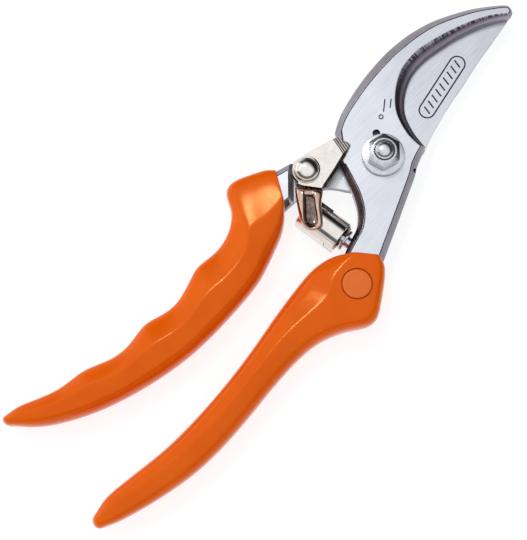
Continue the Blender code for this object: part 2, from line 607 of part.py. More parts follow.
def coil():
    """The coil spring: closed at both ends and open between them."""
    start, direction = spring_axis()
    turn = direction.to_track_quat("Z", "Y").to_matrix()
    low = SLEEVE_START + SLEEVE_WALL + SEAT_THICKNESS + 3 * GAP + WIRE_RADIUS
    high = SPRING_LENGTH - SEAT_FROM_WALL - SEAT_THICKNESS - GAP - WIRE_RADIUS
    radius = COIL_RADIUS - WIRE_RADIUS
    per_turn = 10
    count = COIL_TURNS * per_turn
    curve = bpy.data.curves.new("coil", "CURVE")
    curve.dimensions = "3D"
    line = curve.splines.new("POLY")
    line.points.add(count)
    for i in range(count + 1):
        angle = 2 * pi * i / per_turn
        spot = Vector((radius * cos(angle), radius * sin(angle), low + (high - low) * i / count))
        line.points[i].co = (*((start + turn @ spot) * MM), 1.0)
    curve.bevel_depth = WIRE_RADIUS * MM
    curve.bevel_resolution = 1
    curve.use_fill_caps = True
    return bpy.data.objects.new("coil", curve)


def spring_parts(parts, root, blade_side, cutters):
    start, direction = spring_axis()
    end = SPRING_LENGTH - SEAT_FROM_WALL
    inner = SLEEVE_RADIUS - SLEEVE_WALL
    part("spring_bracket", spring_bracket(cutters), NICKEL, parts, blade_side)

    floor = SLEEVE_START + SLEEVE_WALL
    cup = turned("spring_sleeve", [
        (0, floor), (inner, floor), (inner, SLEEVE_END), (SLEEVE_RADIUS, SLEEVE_END),
        (SLEEVE_RADIUS, SLEEVE_START), (0, SLEEVE_START)], start, direction)
    part("spring_sleeve", cup, NICKEL, parts, blade_side)

    foot = floor + GAP
    guide = turned("spring_guide", [
        (0, SLEEVE_END - 3), (GUIDE_RADIUS, SLEEVE_END - 3), (GUIDE_RADIUS, foot + SEAT_THICKNESS),
        (COIL_RADIUS, foot + SEAT_THICKNESS), (COIL_RADIUS, foot), (0, foot)], start, direction, steps=24)
    part("spring_guide", guide, SPRING_STEEL, parts, blade_side)

    seat = turned("spring_seat", [
        (0, end + SEAT_STEM_LENGTH), (SEAT_STEM_RADIUS, end + SEAT_STEM_LENGTH), (SEAT_STEM_RADIUS, end),
        (SEAT_RADIUS, end), (SEAT_RADIUS, end - SEAT_THICKNESS), (GUIDE_RADIUS, end - SEAT_THICKNESS),
        (GUIDE_RADIUS, end - SEAT_THICKNESS - 1.6), (0, end - SEAT_THICKNESS - 1.6)], start, direction, steps=24)
    part("spring_seat", seat, SPRING_STEEL, parts, root)
    part("coil_spring", coil(), SPRING_STEEL, parts, blade_side)


# ---- The whole -----------------------------------------------------------------------------------


def empty(name, at, parent, collection):
    made = bpy.data.objects.new(name, None)
    made.empty_display_size = 0.01
    made.location = Vector(at) * MM
    collection.objects.link(made)
    bpy.context.view_layer.update()
    if parent:
        place = made.matrix_world.copy()
        made.parent = parent
        made.matrix_parent_inverse = parent.matrix_world.inverted()
        made.matrix_world = place
        bpy.context.view_layer.update()
    return made


def bottom_centre(objects):
    bpy.context.view_layer.update()
    graph = bpy.context.evaluated_depsgraph_get()
    corners = []
    for thing in objects:
        if thing.type in ("MESH", "CURVE"):
            seen = thing.evaluated_get(graph)
            corners += [seen.matrix_world @ Vector(corner) for corner in seen.bound_box]
    low = Vector([min(c[i] for c in corners) for i in range(3)])
    high = Vector([max(c[i] for c in corners) for i in range(3)])
    return Vector(((low.x + high.x) / 2, (low.y + high.y) / 2, low.z))


def main():
    clear_scene()
    parts = new_collection(COLLECTION)
    cutters = new_collection("cutters")
    root = empty("shears_origin", (0, 0, 0), None, parts)
    blade_side = empty("handle_pivot", (0, 0, 0), root, parts)
    catch_side = empty("catch_pivot", (*RIVET_AT, 0), blade_side, parts)

    part("hook_half", hook_half(cutters), LIGHT_STEEL, parts, root)
    part("blade_half", blade_half(cutters), LIGHT_STEEL, parts, blade_side)

    cover = grip("hook_grip", HOOK_GRIP_OUTER, HOOK_GRIP_INNER, HOOK_RUNS, cutters)
    grip_top = SHEAR_Z + GRIP_THICKNESS / 2
    recess = cylinder(PLUG_RADIUS + GAP, grip_top - PLUG_DEPTH - GAP, grip_top + 4, PLUG_AT)
    boolean(cover, "DIFFERENCE", finish_mesh("plug_recess", recess), cutters)
    part("hook_grip", cover, ORANGE, parts, root)
    plug = cylinder(PLUG_RADIUS, grip_top - PLUG_DEPTH, grip_top + PLUG_PROUD, PLUG_AT, bevel=0.3)
    part("grip_plug", finish_mesh("grip_plug", plug), PALE_ORANGE, parts, root)
    other = grip("blade_grip", BLADE_GRIP_OUTER, BLADE_GRIP_INNER, BLADE_RUNS, cutters)
    part("blade_grip", other, ORANGE, parts, blade_side)

    pivot_parts(parts, root, cutters)
    catch_parts(parts, blade_side, catch_side, cutters)
    spring_parts(parts, root, blade_side, cutters)

    root.location = -bottom_centre(parts.objects)
    bpy.context.view_layer.update()


main()
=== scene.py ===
"""Looks for a pair of pruning shears: forged halves, dipped grips, a thumb catch and a sleeved spring.

Shapes are drawn in millimetres around the pivot: its axis is X = Y = 0, +X runs to the tip, +Y to
the side of the catch, and Z is the height above the surface that the shears lie on. The frame's
own metres come in once, when a piece is handed over.
"""

from math import atan2, cos, pi, radians, sin, sqrt

import bmesh
import bpy
from bpy.props import FloatProperty, FloatVectorProperty, IntProperty, PointerProperty, StringProperty
from mathutils import Matrix, Vector
from mathutils.geometry import intersect_line_line_2d


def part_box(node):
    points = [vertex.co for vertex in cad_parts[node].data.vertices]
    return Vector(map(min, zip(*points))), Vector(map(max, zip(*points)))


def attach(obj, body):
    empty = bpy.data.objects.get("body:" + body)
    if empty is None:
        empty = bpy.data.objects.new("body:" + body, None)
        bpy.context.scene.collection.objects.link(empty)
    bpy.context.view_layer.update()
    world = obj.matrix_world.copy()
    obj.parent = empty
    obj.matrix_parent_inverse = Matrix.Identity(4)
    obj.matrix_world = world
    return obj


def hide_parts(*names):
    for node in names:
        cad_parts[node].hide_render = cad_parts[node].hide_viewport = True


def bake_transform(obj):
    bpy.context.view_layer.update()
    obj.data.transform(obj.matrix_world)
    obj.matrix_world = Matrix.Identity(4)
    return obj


bl_info = {
    "name": "Pruning shears",
    "version": (1, 0, 0),
    "blender": (4, 5, 0),
    "location": "3D View > Sidebar > Shears",
    "description": "Models and finishes the pieces of a pair of pruning shears",
    "category": "Object",
}

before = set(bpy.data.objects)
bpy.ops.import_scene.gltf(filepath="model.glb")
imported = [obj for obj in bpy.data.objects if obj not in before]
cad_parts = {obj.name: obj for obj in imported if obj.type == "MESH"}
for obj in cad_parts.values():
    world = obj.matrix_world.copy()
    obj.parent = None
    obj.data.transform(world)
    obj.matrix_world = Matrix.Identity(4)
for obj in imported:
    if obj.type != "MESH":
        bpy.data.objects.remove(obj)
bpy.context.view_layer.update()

MM = 0.001
GAP = 0.3


def middle_of(name):
    """The middle of a node's box, in the frame's metres."""
    low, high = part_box(name)
    return (low + high) / 2


PIVOT = middle_of("pivot_bolt")
TO_FRAME = Matrix.Translation((PIVOT.x, PIVOT.y, 0.0)) @ Matrix.Scale(MM, 4)
FROM_FRAME = TO_FRAME.inverted()


def low_of(name):
    """The height of a node's lowest point, in millimetres."""
    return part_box(name)[0].z / MM


def high_of(name):
    """The height of a node's highest point, in millimetres."""
    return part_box(name)[1].z / MM


def plan_of(name):
    """The middle of a node's box around the pivot, in millimetres."""
    spot = FROM_FRAME @ middle_of(name)
    return (spot.x, spot.y)


# Heights that the frame gives.
FORGED_LOW = low_of("hook_half")
FORGED_HIGH = high_of("hook_half")
SHEAR_Z = high_of("blade_grip") / 2
HOOK_LOW = SHEAR_Z + GAP / 2
BLADE_HIGH = SHEAR_Z - GAP / 2
GRIP_HIGH = high_of("blade_grip")
PLATE_LOW = high_of("catch_wave_washer") + GAP
RIVET_AT = plan_of("catch_rivet")
PLUG_AT = plan_of("grip_plug")

# The spring's axis, from the blade half's wall to the hook half's wall.
SPRING_FROM = Vector((-30.9, 8.6, SHEAR_Z))
SPRING_TO = Vector((-28.1, -12.4, SHEAR_Z))
SPRING_LENGTH = 20.7
GUIDE_FOOT = 3.7
SEAT_AT = SPRING_LENGTH - 0.7
FLANGE = 0.8
COIL_REACH = 4.55
SPRING_WAY = (SPRING_TO - SPRING_FROM).normalized()
TO_SPRING = Matrix.Translation(SPRING_FROM) @ SPRING_WAY.to_track_quat("Z", "Y").to_matrix().to_4x4()
RIVET_HOLE = 2.3

# Outlines in plan. A knot is x, y, then the width and the depth of the bevel along that edge.
FLANK = (1.9, 2.6)
SLIM = (0.6, 0.6)
CORE = (1.2, 1.2)
HOOK_RUNS = [
    # The outer side of the tang, inside the grip.
    [(-119, -24.6, *CORE), (-112, -27.0, *CORE), (-98, -27.2, *CORE), (-82, -25.6, *CORE),
     (-67, -24.6, *CORE), (-57, -25.8, *CORE), (-49, -29.2, *CORE), (-41.5, -32.6, *CORE),
     (-33, -28.9, *FLANK), (-24.5, -24.6, *FLANK), (-13, -19.4, *FLANK), (-5.1, -15.8, *FLANK),
     (2.4, -12.4, *FLANK), (5.6, -10.5, *FLANK), (9.0, -9.1, 1.8, 2.4), (12.4, -7.7, 1.2, 2.0)],
    # The shearing edge, with its hollow bevel.
    [(12.4, -7.7, 1.2, 2.0), (13.6, -1.4, 2.6, 3.2), (16.3, 5.0, 3.2, 3.8), (20.9, 9.5, 3.6, 3.9),
     (27.0, 12.5, 4.0, 3.9), (33.7, 13.3, 3.9, 3.9), (40.8, 12.4, 3.5, 3.9), (47.7, 11.0, 2.9, 3.7),
     (54.0, 9.1, 2.4, 3.3), (60.2, 6.5, 1.8, 2.6), (64.9, 3.7, 0.9, 1.6)],
    # The rounded tip and the outer flank.
    [(64.9, 3.7, 0.9, 1.6), (66.4, 3.6, 0.9, 1.6), (67.6, 5.2, 1.0, 1.8), (67.4, 7.3, 1.2, 2.0),
     (64.1, 10.5, 1.6, 2.4), (58.9, 14.4, 1.9, 2.6), (53.1, 17.7, 2.1, 2.6), (46.2, 20.9, 2.3, 2.6),
     (39.3, 22.9, 2.6, 2.6), (32.9, 23.9, 2.8, 2.6), (25.4, 24.2, 2.8, 2.6), (15.3, 23.3, 2.6, 2.6),
     (6.8, 21.6, 2.3, 2.6), (0.0, 19.6, 2.0, 2.4), (-5.0, 17.0, 1.7, 2.2)],
    # The notch that the catch's lug drops into, and the corner below it.
    [(-5.0, 17.0, 1.7, 2.2), (-7.7, 11.1, 0.5, 0.5)],
    [(-7.7, 11.1, 0.5, 0.5), (-9.6, 10.4, 0.5, 0.5), (-11.4, 8.6, 1.0, 1.2)],
    # The hollow side towards the spring, then the inner side of the tang.
    [(-11.4, 8.6, 1.0, 1.2), (-13.9, 3.1, 1.8, 2.4), (-16.2, -2.6, 2.0, 2.6), (-19.1, -7.3, 2.0, 2.6),
     (-22.8, -10.6, 1.8, 2.6), (-27.0, -12.2, 1.6, 2.4), (-31.0, -13.6, 1.4, 2.0), (-35.5, -15.2, *CORE),
     (-44, -14.0, *CORE), (-56, -15.0, *CORE), (-72, -17.8, *CORE), (-88, -20.0, *CORE),
     (-104, -21.2, *CORE), (-119, -21.6, *CORE)],
    [(-119, -21.6, *CORE), (-119, -24.6, *CORE)],
]
BLADE_RUNS = [
    # The cutting edge, which is ground on the underside, then the hub and the tang's outer side.
    [(65.3, 3.7, 0.9, 2.6), (60.6, 7.7, 2.6, 3.4), (54.4, 10.6, 3.8, 3.6), (47.9, 12.7, 4.4, 3.6),
     (40.8, 14.1, 4.6, 3.6), (33.7, 15.0, 4.6, 3.6), (26.5, 14.5, 4.4, 3.6), (18.0, 13.4, 3.0, 3.0),
     (8.0, 13.2, *SLIM), (-2.0, 13.9, *SLIM), (-10.0, 15.6, 1.0, 1.0), (-19.3, 18.7, 1.4, 1.8),
     (-27.5, 21.2, *FLANK), (-33.5, 23.2, *FLANK), (-39.5, 24.6, *CORE), (-43.0, 22.6, *CORE),
     (-46.6, 17.6, *CORE), (-52.0, 14.4, *CORE), (-60.0, 12.8, *CORE), (-71.0, 12.0, *CORE),
     (-82.0, 9.7, *CORE), (-93.0, 10.6, *CORE), (-104.0, 10.8, *CORE), (-113.0, 12.8, *CORE)],
    [(-113.0, 12.8, *CORE), (-115.5, 9.0, *CORE)],
    # The tang's inner side, the hub beside the spring and the hub under the hook.
    [(-115.5, 9.0, *CORE), (-107.0, 4.6, *CORE), (-95.0, 1.7, *CORE), (-82.3, 0.8, *CORE),
     (-69.0, 1.5, *CORE), (-58.5, 2.9, *CORE), (-48.0, 6.7, *CORE), (-41.5, 9.0, *CORE),
     (-36.0, 10.1, *FLANK), (-29.0, 9.7, 1.4, 1.8), (-20.4, 6.3, 1.0, 1.0), (-15.5, 0.3, *SLIM),
     (-12.6, -4.2, *SLIM), (-8.4, -7.4, *SLIM), (-3.4, -9.9, *SLIM), (2.4, -10.0, *SLIM),
     (7.6, -8.9, *SLIM), (12.6, -8.0, *SLIM)],
    # The blade's straight back.
    [(12.6, -8.0, *SLIM), (18.0, -6.0, *SLIM), (25.0, -4.0, *SLIM), (32.0, -2.4, *SLIM),
     (40.0, -0.9, *SLIM), (48.0, 0.9, *SLIM), (56.5, 2.3, *SLIM), (65.3, 3.7, 0.9, 2.6)],
]

# The grips' outer and inner edges in plan, each from the mouth to the far end.
HOOK_GRIP_OUTER = [(-24.9, -23.4), (-25.0, -25.4), (-28.6, -29.1), (-35.3, -33.9), (-39.2, -36.4),
                   (-41.8, -36.9), (-44.6, -35.8), (-50.8, -31.7), (-58.6, -28.7), (-67.6, -27.8),
                   (-80.2, -28.5), (-92.5, -29.8), (-106.5, -30.6), (-119.0, -29.9), (-132.4, -27.3),
                   (-143.9, -24.0), (-148.4, -22.0)]
HOOK_GRIP_INNER = [(-32.4, -14.3), (-34.2, -12.8), (-38.0, -11.0), (-43.9, -10.1), (-51.8, -10.8),
                   (-62.4, -12.4), (-75.8, -14.9), (-88.4, -16.7), (-103.6, -17.9), (-117.9, -17.9),
                   (-132.0, -16.4), (-141.5, -15.6), (-147.4, -16.9)]
BLADE_GRIP_OUTER = [(-28.4, 22.2), (-30.4, 24.3), (-34.2, 26.4), (-40.2, 29.1), (-43.8, 29.0),
                    (-46.0, 26.8), (-48.2, 22.4), (-52.1, 19.0), (-56.5, 17.1), (-61.3, 16.3),
                    (-66.3, 16.8), (-70.0, 16.9), (-75.5, 15.0), (-81.8, 13.3), (-87.0, 13.6),
                    (-93.4, 15.4), (-97.6, 15.2), (-103.0, 14.3), (-108.8, 14.8), (-114.0, 16.8),
                    (-119.0, 18.7), (-124.0, 19.3), (-129.3, 20.2), (-135.5, 22.5), (-141.5, 25.0),
                    (-146.4, 25.7)]
BLADE_GRIP_INNER = [(-35.8, 10.0), (-37.8, 7.9), (-41.8, 5.2), (-46.2, 3.4), (-52.0, 1.2), (-58.8, -0.8),
                    (-68.6, -1.9), (-82.3, -2.5), (-94.6, -1.8), (-108.5, 0.8), (-122.4, 5.1),
                    (-134.0, 10.7), (-141.7, 16.1), (-147.0, 21.8)]


# ---- Materials -----------------------------------------------------------------------------------


def linear(colour):
    """An sRGB hex value such as 'E65C06' as a linear RGBA colour."""
    channels = [int(colour[i:i + 2], 16) / 255 for i in (0, 2, 4)]
    return (*[c / 12.92 if c <= 0.04045 else ((c + 0.055) / 1.055) ** 2.4 for c in channels], 1.0)


def add(tree, kind, settings=None, links=None):
    """Adds a node. A setting is one of its properties, the value of an input or, as "stops", the places
    and colours on its ramp. A link feeds an input."""
    made = tree.nodes.new(kind)
    for key, value in (settings or {}).items():
        if key == "stops":
            stops = made.color_ramp.elements
            while len(stops) < len(value):
                stops.new(1.0)
            for stop, (place, colour) in zip(stops, value):
                stop.position, stop.color = place, colour
        elif isinstance(key, str) and key in made.bl_rna.properties:
            setattr(made, key, value)
        else:
            made.inputs[key].default_value = value
    for key, source in (links or {}).items():
        tree.links.new(source, made.inputs[key])
    return made


def new_material(name):
    """An empty material: (its tree, its shader, a coordinate in the frame's metres)."""
    made = bpy.data.materials.new(name)
    made.use_nodes = True
    tree = made.node_tree
    return tree, tree.nodes["Principled BSDF"], add(tree, "ShaderNodeTexCoord").outputs["Object"]


def dress(tree, shader, sources, metallic=1.0):
    """Links the colour, the roughness and the bump to the shader."""
    for key, source in zip(("Base Color", "Roughness", "Normal"), sources):
        tree.links.new(source, shader.inputs[key])
    shader.inputs["Metallic"].default_value = metallic


def clouded_grain(name, tones, grain, cloud, share, gloss, bump, gloss_by="both", stretch=None, metallic=1.0):
    """A material from two noises, a grain, which also gives the bump, and a cloud. Their mix gives the
    colour. tones holds (place, hex value) pairs, gloss two roughnesses and bump a strength and a height
    in millimetres."""
    tree, shader, place = new_material(name)
    drawn_on = add(tree, "ShaderNodeMapping", stretch, {"Vector": place}).outputs[0] if stretch else place
    noise = {
        "grain": add(tree, "ShaderNodeTexNoise", grain, {"Vector": drawn_on}).outputs[0],
        "cloud": add(tree, "ShaderNodeTexNoise", cloud, {"Vector": place}).outputs[0],
    }
    noise["both"] = add(tree, "ShaderNodeMix", {"data_type": "FLOAT", 0: share},
                        {2: noise["grain"], 3: noise["cloud"]}).outputs[0]
    stops = [(spot, linear(colour)) for spot, colour in tones]
    tone = add(tree, "ShaderNodeValToRGB", {"stops": stops}, {"Fac": noise["both"]})
    rough = add(tree, "ShaderNodeMapRange", {"To Min": gloss[0], "To Max": gloss[1]},
                {"Value": noise[gloss_by]})
    relief = add(tree, "ShaderNodeBump", {"Strength": bump[0], "Distance": bump[1] * MM},
                 {"Height": noise["grain"]})
    dress(tree, shader, (tone.outputs[0], rough.outputs[0], relief.outputs[0]), metallic)
    return shader


def ground_steel(name, colour, darker, turn, roughness):
    """Drop-forged chrome-vanadium steel, surface-ground and satin-plated: a pale, cool face with fine
    straight grinding lines, and a sheen that stretches across them. The lines are 0.15 mm apart on the
    real one and are drawn 0.4 mm apart, so that they show. Handling leaves broad, faint clouds about 15
    mm across."""
    clouded_grain(name, ((0.32, darker), (0.66, colour)), {"Scale": 1.0, "Detail": 3.0, "Roughness": 0.6},
                  {"Scale": 65.0, "Detail": 3.0}, 0.45, (roughness - 0.06, roughness + 0.1), (0.35, 0.03),
                  stretch={"Rotation": (0, 0, turn), "Scale": (90, 2400, 90)})


def forged_steel(name, colour, darker, roughness, grain, depth):
    """Forged steel as it leaves the die and the tumbler, then plated: grey and dull, with a fine even
    grain."""
    clouded_grain(name, ((0.35, darker), (0.68, colour)), {"Scale": 1 / (grain * MM), "Detail": 2.0},
                  {"Scale": 160.0, "Detail": 4.0}, 0.55, (roughness - 0.07, roughness + 0.08), (0.5, depth),
                  gloss_by="cloud")


def plated_metal(name, colour, darker, roughness, waviness):
    """Pressed or turned steel with a bright plating: mirror-like, with the slight waviness of the sheet
    under it, 3 mm from crest to crest, and fine rubbed patches."""
    clouded_grain(name, ((0.35, darker), (0.65, colour)), {"Scale": 330.0, "Detail": 2.0},
                  {"Scale": 1400.0, "Detail": 4.0, "Roughness": 0.65}, 0.55,
                  (max(roughness - 0.04, 0.03), roughness + 0.06), (0.4, waviness))


def dipped_vinyl(name, colour, deeper, roughness, gloss_level):
    """Plastisol, into which the warm handles were dipped: a thick, saturated, glossy skin with soft
    edges. Its colour deepens a little in broad clouds of 12 mm, and its skin has a faint 1.5 mm orange-
    peel."""
    shader = clouded_grain(name, ((0.36, deeper), (0.64, colour)), {"Scale": 650.0, "Detail": 2.0},
                           {"Scale": 80.0, "Detail": 3.0}, 1.0, (roughness - 0.05, roughness + 0.07),
                           (0.2, 0.03),
                           gloss_by="grain", metallic=0.0)
    shader.inputs["IOR"].default_value = 1.49
    shader.inputs["Specular IOR Level"].default_value = gloss_level
    # The dye tints the skin's own gloss.
    shader.inputs["Specular Tint"].default_value = (1.0, 0.55, 0.22, 1.0)


def hollow_ground_steel(name, colour, darker, shade, ticks_from):
    """The hook's hollow edge, cut by a small grinding wheel: smooth, painted dark for the dark reflection of
    the hollow, and towards the tip with short ticks where the wheel left the face, which carry a bump and a
    painted dark reflection. Its own UV runs along the edge in millimetres and from the edge, 0, to the face,
    1. The ticks are about 0.6 mm apart."""
    tree, shader, _ = new_material(name)
    along = add(tree, "ShaderNodeUVMap", {"uv_map": "edge"}).outputs[0]
    stretched = add(tree, "ShaderNodeMapping", {"Scale": (1.7, 0.8, 1.0)}, {"Vector": along})
    ticks = add(tree, "ShaderNodeTexNoise", {"Scale": 1.0, "Detail": 2.0, "Roughness": 0.7},
                {"Vector": stretched.outputs[0]}).outputs[0]
    place = add(tree, "ShaderNodeSeparateXYZ", links={"Vector": along})
    late = add(tree, "ShaderNodeMapRange", {"From Min": ticks_from[0], "From Max": ticks_from[1]},
               {"Value": place.outputs["X"]})
    near = add(tree, "ShaderNodeMapRange", {"From Min": 0.45, "From Max": 0.8}, {"Value": place.outputs["Y"]})
    where = add(tree, "ShaderNodeMath", {"operation": "MULTIPLY"}, {0: late.outputs[0], 1: near.outputs[0]})
    ticked = add(tree, "ShaderNodeValToRGB", {"stops": ((0.46, linear(darker)), (0.56, linear(colour)))},
                 {"Fac": ticks})
    # The wheel's own curve shows as painted reflection: a slow change from the edge, which is lighter, to the
    # face, which is painted darker.
    smooth = add(tree, "ShaderNodeValToRGB", {"stops": ((0.1, linear(colour)), (0.9, linear(shade)))},
                 {"Fac": place.outputs["Y"]})
    tone = add(tree, "ShaderNodeMix", {"data_type": "RGBA"},
               {0: where.outputs[0], 6: smooth.outputs[0], 7: ticked.outputs[0]})
    bump = add(tree, "ShaderNodeBump", {"Strength": 0.4, "Distance": 0.06 * MM}, {"Height": ticks})
    gloss = add(tree, "ShaderNodeMapRange", {"To Min": 0.26, "To Max": 0.4}, {"Value": ticks})
    dress(tree, shader, (tone.outputs[2], gloss.outputs[0], bump.outputs[0]))


# ---- Shapes --------------------------------------------------------------------------------------


def curve_through(knots, steps):
    """Points on a Catmull-Rom curve through the knots. Values after x and y change evenly."""
    points = []
    for i in range(len(knots) - 1):
        near, far = knots[i], knots[i + 1]
        before = knots[max(i - 1, 0)]
        after = knots[min(i + 2, len(knots) - 1)]
        for step in range(steps):
            t = step / steps
            plan = [
                0.5 * (2 * b + (c - a) * t + (2 * a - 5 * b + 4 * c - d) * t * t
                       + (3 * b - a - 3 * c + d) * t**3)
                for a, b, c, d in zip(before[:2], near[:2], far[:2], after[:2])
            ]
            rest = [b + (c - b) * t for b, c in zip(near[2:], far[2:])]
            points.append((*plan, *rest))
    points.append(knots[-1])
    return points


def closed_outline(runs, steps):
    """One closed outline from runs that each end where the next begins. Each point also says its
    run."""
    outline = []
    for number, run in enumerate(runs):
        for point in curve_through(run, 1 if len(run) == 2 else steps)[:-1]:
            outline.append((*point, number))
    area = sum(a[0] * b[1] - b[0] * a[1] for a, b in round_trip(outline))
    return outline if area > 0 else outline[::-1]


def unfolded(ring, reach=16):
    """Lays out the small loop that an inset ties at a tight corner along its two sides."""
    count = len(ring)
    for i in range(count):
        for span in range(reach, 1, -1):
            near, far = ring[i], ring[(i + span + 1) % count]
            corner = intersect_line_line_2d(near, ring[(i + 1) % count], ring[(i + span) % count], far)
            if corner:
                for k in range(1, span + 1):
                    share = 2 * k / (span + 1)
                    spot = near.lerp(corner, share) if share <= 1 else corner.lerp(far, share - 1)
                    ring[(i + k) % count] = spot
                break
    return ring


def inset(outline, distances):
    """The outline moved inwards at each point, with mitred corners. It runs anticlockwise."""
    moved = []
    for i, point in enumerate(outline):
        before, after = outline[i - 1], outline[(i + 1) % len(outline)]
        first = Vector((point[0] - before[0], point[1] - before[1])).normalized()
        second = Vector((after[0] - point[0], after[1] - point[1])).normalized()
        normal = Vector((-first.y, first.x)) + Vector((-second.y, second.x))
        normal = normal / max(1.0 + first.dot(second), 0.6)
        moved.append(Vector((point[0] + normal.x * distances[i], point[1] + normal.y * distances[i])))
    return unfolded(moved)


def round_trip(loop):
    """Each member of a closed loop with the one after it."""
    return list(zip(loop, loop[1:] + loop[:1]))


def carry(bm, loop, points):
    """Extrudes a loop of vertices and moves the new ones to the points."""
    made = bmesh.ops.extrude_edge_only(bm, edges=[bm.edges.get(pair) for pair in round_trip(loop)])["geom"]
    fresh = {v for v in made if isinstance(v, bmesh.types.BMVert)}
    moved = []
    for vertex, point in zip(loop, points):
        partner = next(e.other_vert(vertex) for e in vertex.link_edges if e.other_vert(vertex) in fresh)
        partner.co = point
        moved.append(partner)
    return moved


def loft(rings, finish_of=None, uv_name=None, shares=None):
    """A closed body: a loop of vertices carried through rings of points, with both ends closed.
    finish_of gives a face's material from its ring and its place round the ring. The UV map runs round
    the rings in millimetres and across them by the shares, one for each ring."""
    bm = bmesh.new()
    uv = bm.loops.layers.uv.new(uv_name) if uv_name else None
    loop = [bm.verts.new(point) for point in rings[0]]
    bmesh.ops.contextual_create(bm, geom=[bm.edges.new(pair) for pair in round_trip(loop)])
    lengths = [0.0]
    for a, b in round_trip(rings[0]):
        lengths.append(lengths[-1] + (Vector(b) - Vector(a)).length)
    for number, ring in enumerate(rings[1:]):
        moved = carry(bm, loop, ring)
        for i, (a, b) in enumerate(zip(loop, moved)):
            j = (i + 1) % len(loop)
            face = next(f for f in bm.edges.get((a, b)).link_faces if {loop[j], moved[j]} <= set(f.verts))
            if finish_of:
                face.material_index = finish_of(number, i)
            for corner in (face.loops if uv else ()):
                column = i + 1 if corner.vert in (loop[j], moved[j]) else i
                row = number + 1 if corner.vert in (b, moved[j]) else number
                corner[uv].uv = (lengths[column], shares[row])
        loop = moved
    made = bmesh.ops.contextual_create(bm, geom=[bm.edges.get(pair) for pair in round_trip(loop)])
    for face in made["faces"]:
        face.material_index = 0
    bmesh.ops.recalc_face_normals(bm, faces=bm.faces)
    return bm


def extruded(points, way, inner=None):
    """A face over a ring of points, or between it and an inner ring, extruded by a vector."""
    bm = bmesh.new()
    edges = []
    for ring in (points, inner) if inner else (points,):
        corners = [bm.verts.new(point) for point in ring]
        edges += [bm.edges.new(pair) for pair in round_trip(corners)]
    fill = bmesh.ops.bridge_loops(bm, edges=edges) if inner else bmesh.ops.contextual_create(bm, geom=edges)
    made = bmesh.ops.extrude_face_region(bm, geom=fill["faces"])["geom"]
    bmesh.ops.translate(bm, verts=[v for v in made if isinstance(v, bmesh.types.BMVert)], vec=way)
    bmesh.ops.recalc_face_normals(bm, faces=bm.faces)
    return bm


def block(size, place):
    """A box of a size, placed by a matrix."""
    bm = bmesh.new()
    bmesh.ops.create_cube(bm, size=1.0)
    bm.transform(place @ Matrix.Diagonal((*size, 1.0)))
    return bm


def spun(profile, steps=64, at=(0.0, 0.0, 0.0), way=(0.0, 0.0, 1.0)):
    """A turned piece. Its profile is (radius, height) pairs, open on the axis or closed on itself."""
    bm = bmesh.new()
    row = [bm.verts.new((radius, 0.0, height)) for radius, height in profile]
    ends = list(zip(row, row[1:]))
    if profile[0][0] > 0 and profile[-1][0] > 0:
        ends.append((row[-1], row[0]))
    edges = [bm.edges.new(pair) for pair in ends]
    bmesh.ops.spin(bm, geom=row + edges, cent=(0, 0, 0), axis=(0, 0, 1), angle=2 * pi, steps=steps,
                   use_merge=True)
    bmesh.ops.remove_doubles(bm, verts=bm.verts, dist=0.0005)
    bmesh.ops.recalc_face_normals(bm, faces=bm.faces)
    bm.transform(Matrix.Translation(at) @ Vector(way).to_track_quat("Z", "Y").to_matrix().to_4x4())
    return bm


def rod(radius, low, high, at=(0.0, 0.0), sides=48):
    """An upright cylinder, used to cut holes."""
    bm = bmesh.new()
    bmesh.ops.create_cone(bm, cap_ends=True, segments=sides, radius1=radius, radius2=radius, depth=high - low)
    bmesh.ops.translate(bm, verts=bm.verts, vec=(*at, (low + high) / 2))
    return bm


def soften(bm, width, segments=2, above=35, where=None):
    """Bevels the edges that turn by more than an angle in degrees."""
    edges = [e for e in bm.edges if len(e.link_faces) == 2 and e.calc_face_angle(0) > radians(above)
             and (where is None or where(e))]
    bmesh.ops.bevel(bm, geom=edges, offset=width, offset_type="OFFSET", segments=segments, profile=0.5,
                    affect="EDGES", clamp_overlap=True, material=-1)


def dyed(bm, number):
    """The same mesh with every face in one of its piece's materials."""
    for face in bm.faces:
        face.material_index = number
    return bm


def scratch(bm, finishes):
    """An object that only carries a mesh through modifiers."""
    mesh = bpy.data.meshes.new("scratch")
    bm.to_mesh(mesh)
    bm.free()
    for finish in finishes:
        mesh.materials.append(finish)
    thing = bpy.data.objects.new("scratch", mesh)
    bpy.context.scene.collection.objects.link(thing)
    return thing


def carved(bm, finishes, cut=(), joined=(), within=None, levels=0):
    """A mesh after subdivision and then after closed meshes are met with it, joined to it and cut from
    it. Their faces keep their own material numbers."""
    body = scratch(bm, finishes)
    if levels:
        smooth = body.modifiers.new("smooth", "SUBSURF")
        smooth.levels = smooth.render_levels = levels
    tools = []
    changes = [("INTERSECT", within)] if within else []
    changes += [("UNION", tool) for tool in joined] + [("DIFFERENCE", tool) for tool in cut]
    for operation, tool in changes:
        tools.append(scratch(tool, finishes))
        change = body.modifiers.new("carve", "BOOLEAN")
        change.operation, change.object, change.solver = operation, tools[-1], "EXACT"
    bpy.context.view_layer.update()
    graph = bpy.context.evaluated_depsgraph_get()
    mesh = bpy.data.meshes.new_from_object(body.evaluated_get(graph))
    made = bmesh.new()
    made.from_mesh(mesh)
    if not made.faces:
        raise RuntimeError("A cut removed the whole piece")
    for thing in (body, *tools):
        bpy.data.meshes.remove(thing.data)
    bpy.data.meshes.remove(mesh)
    return made


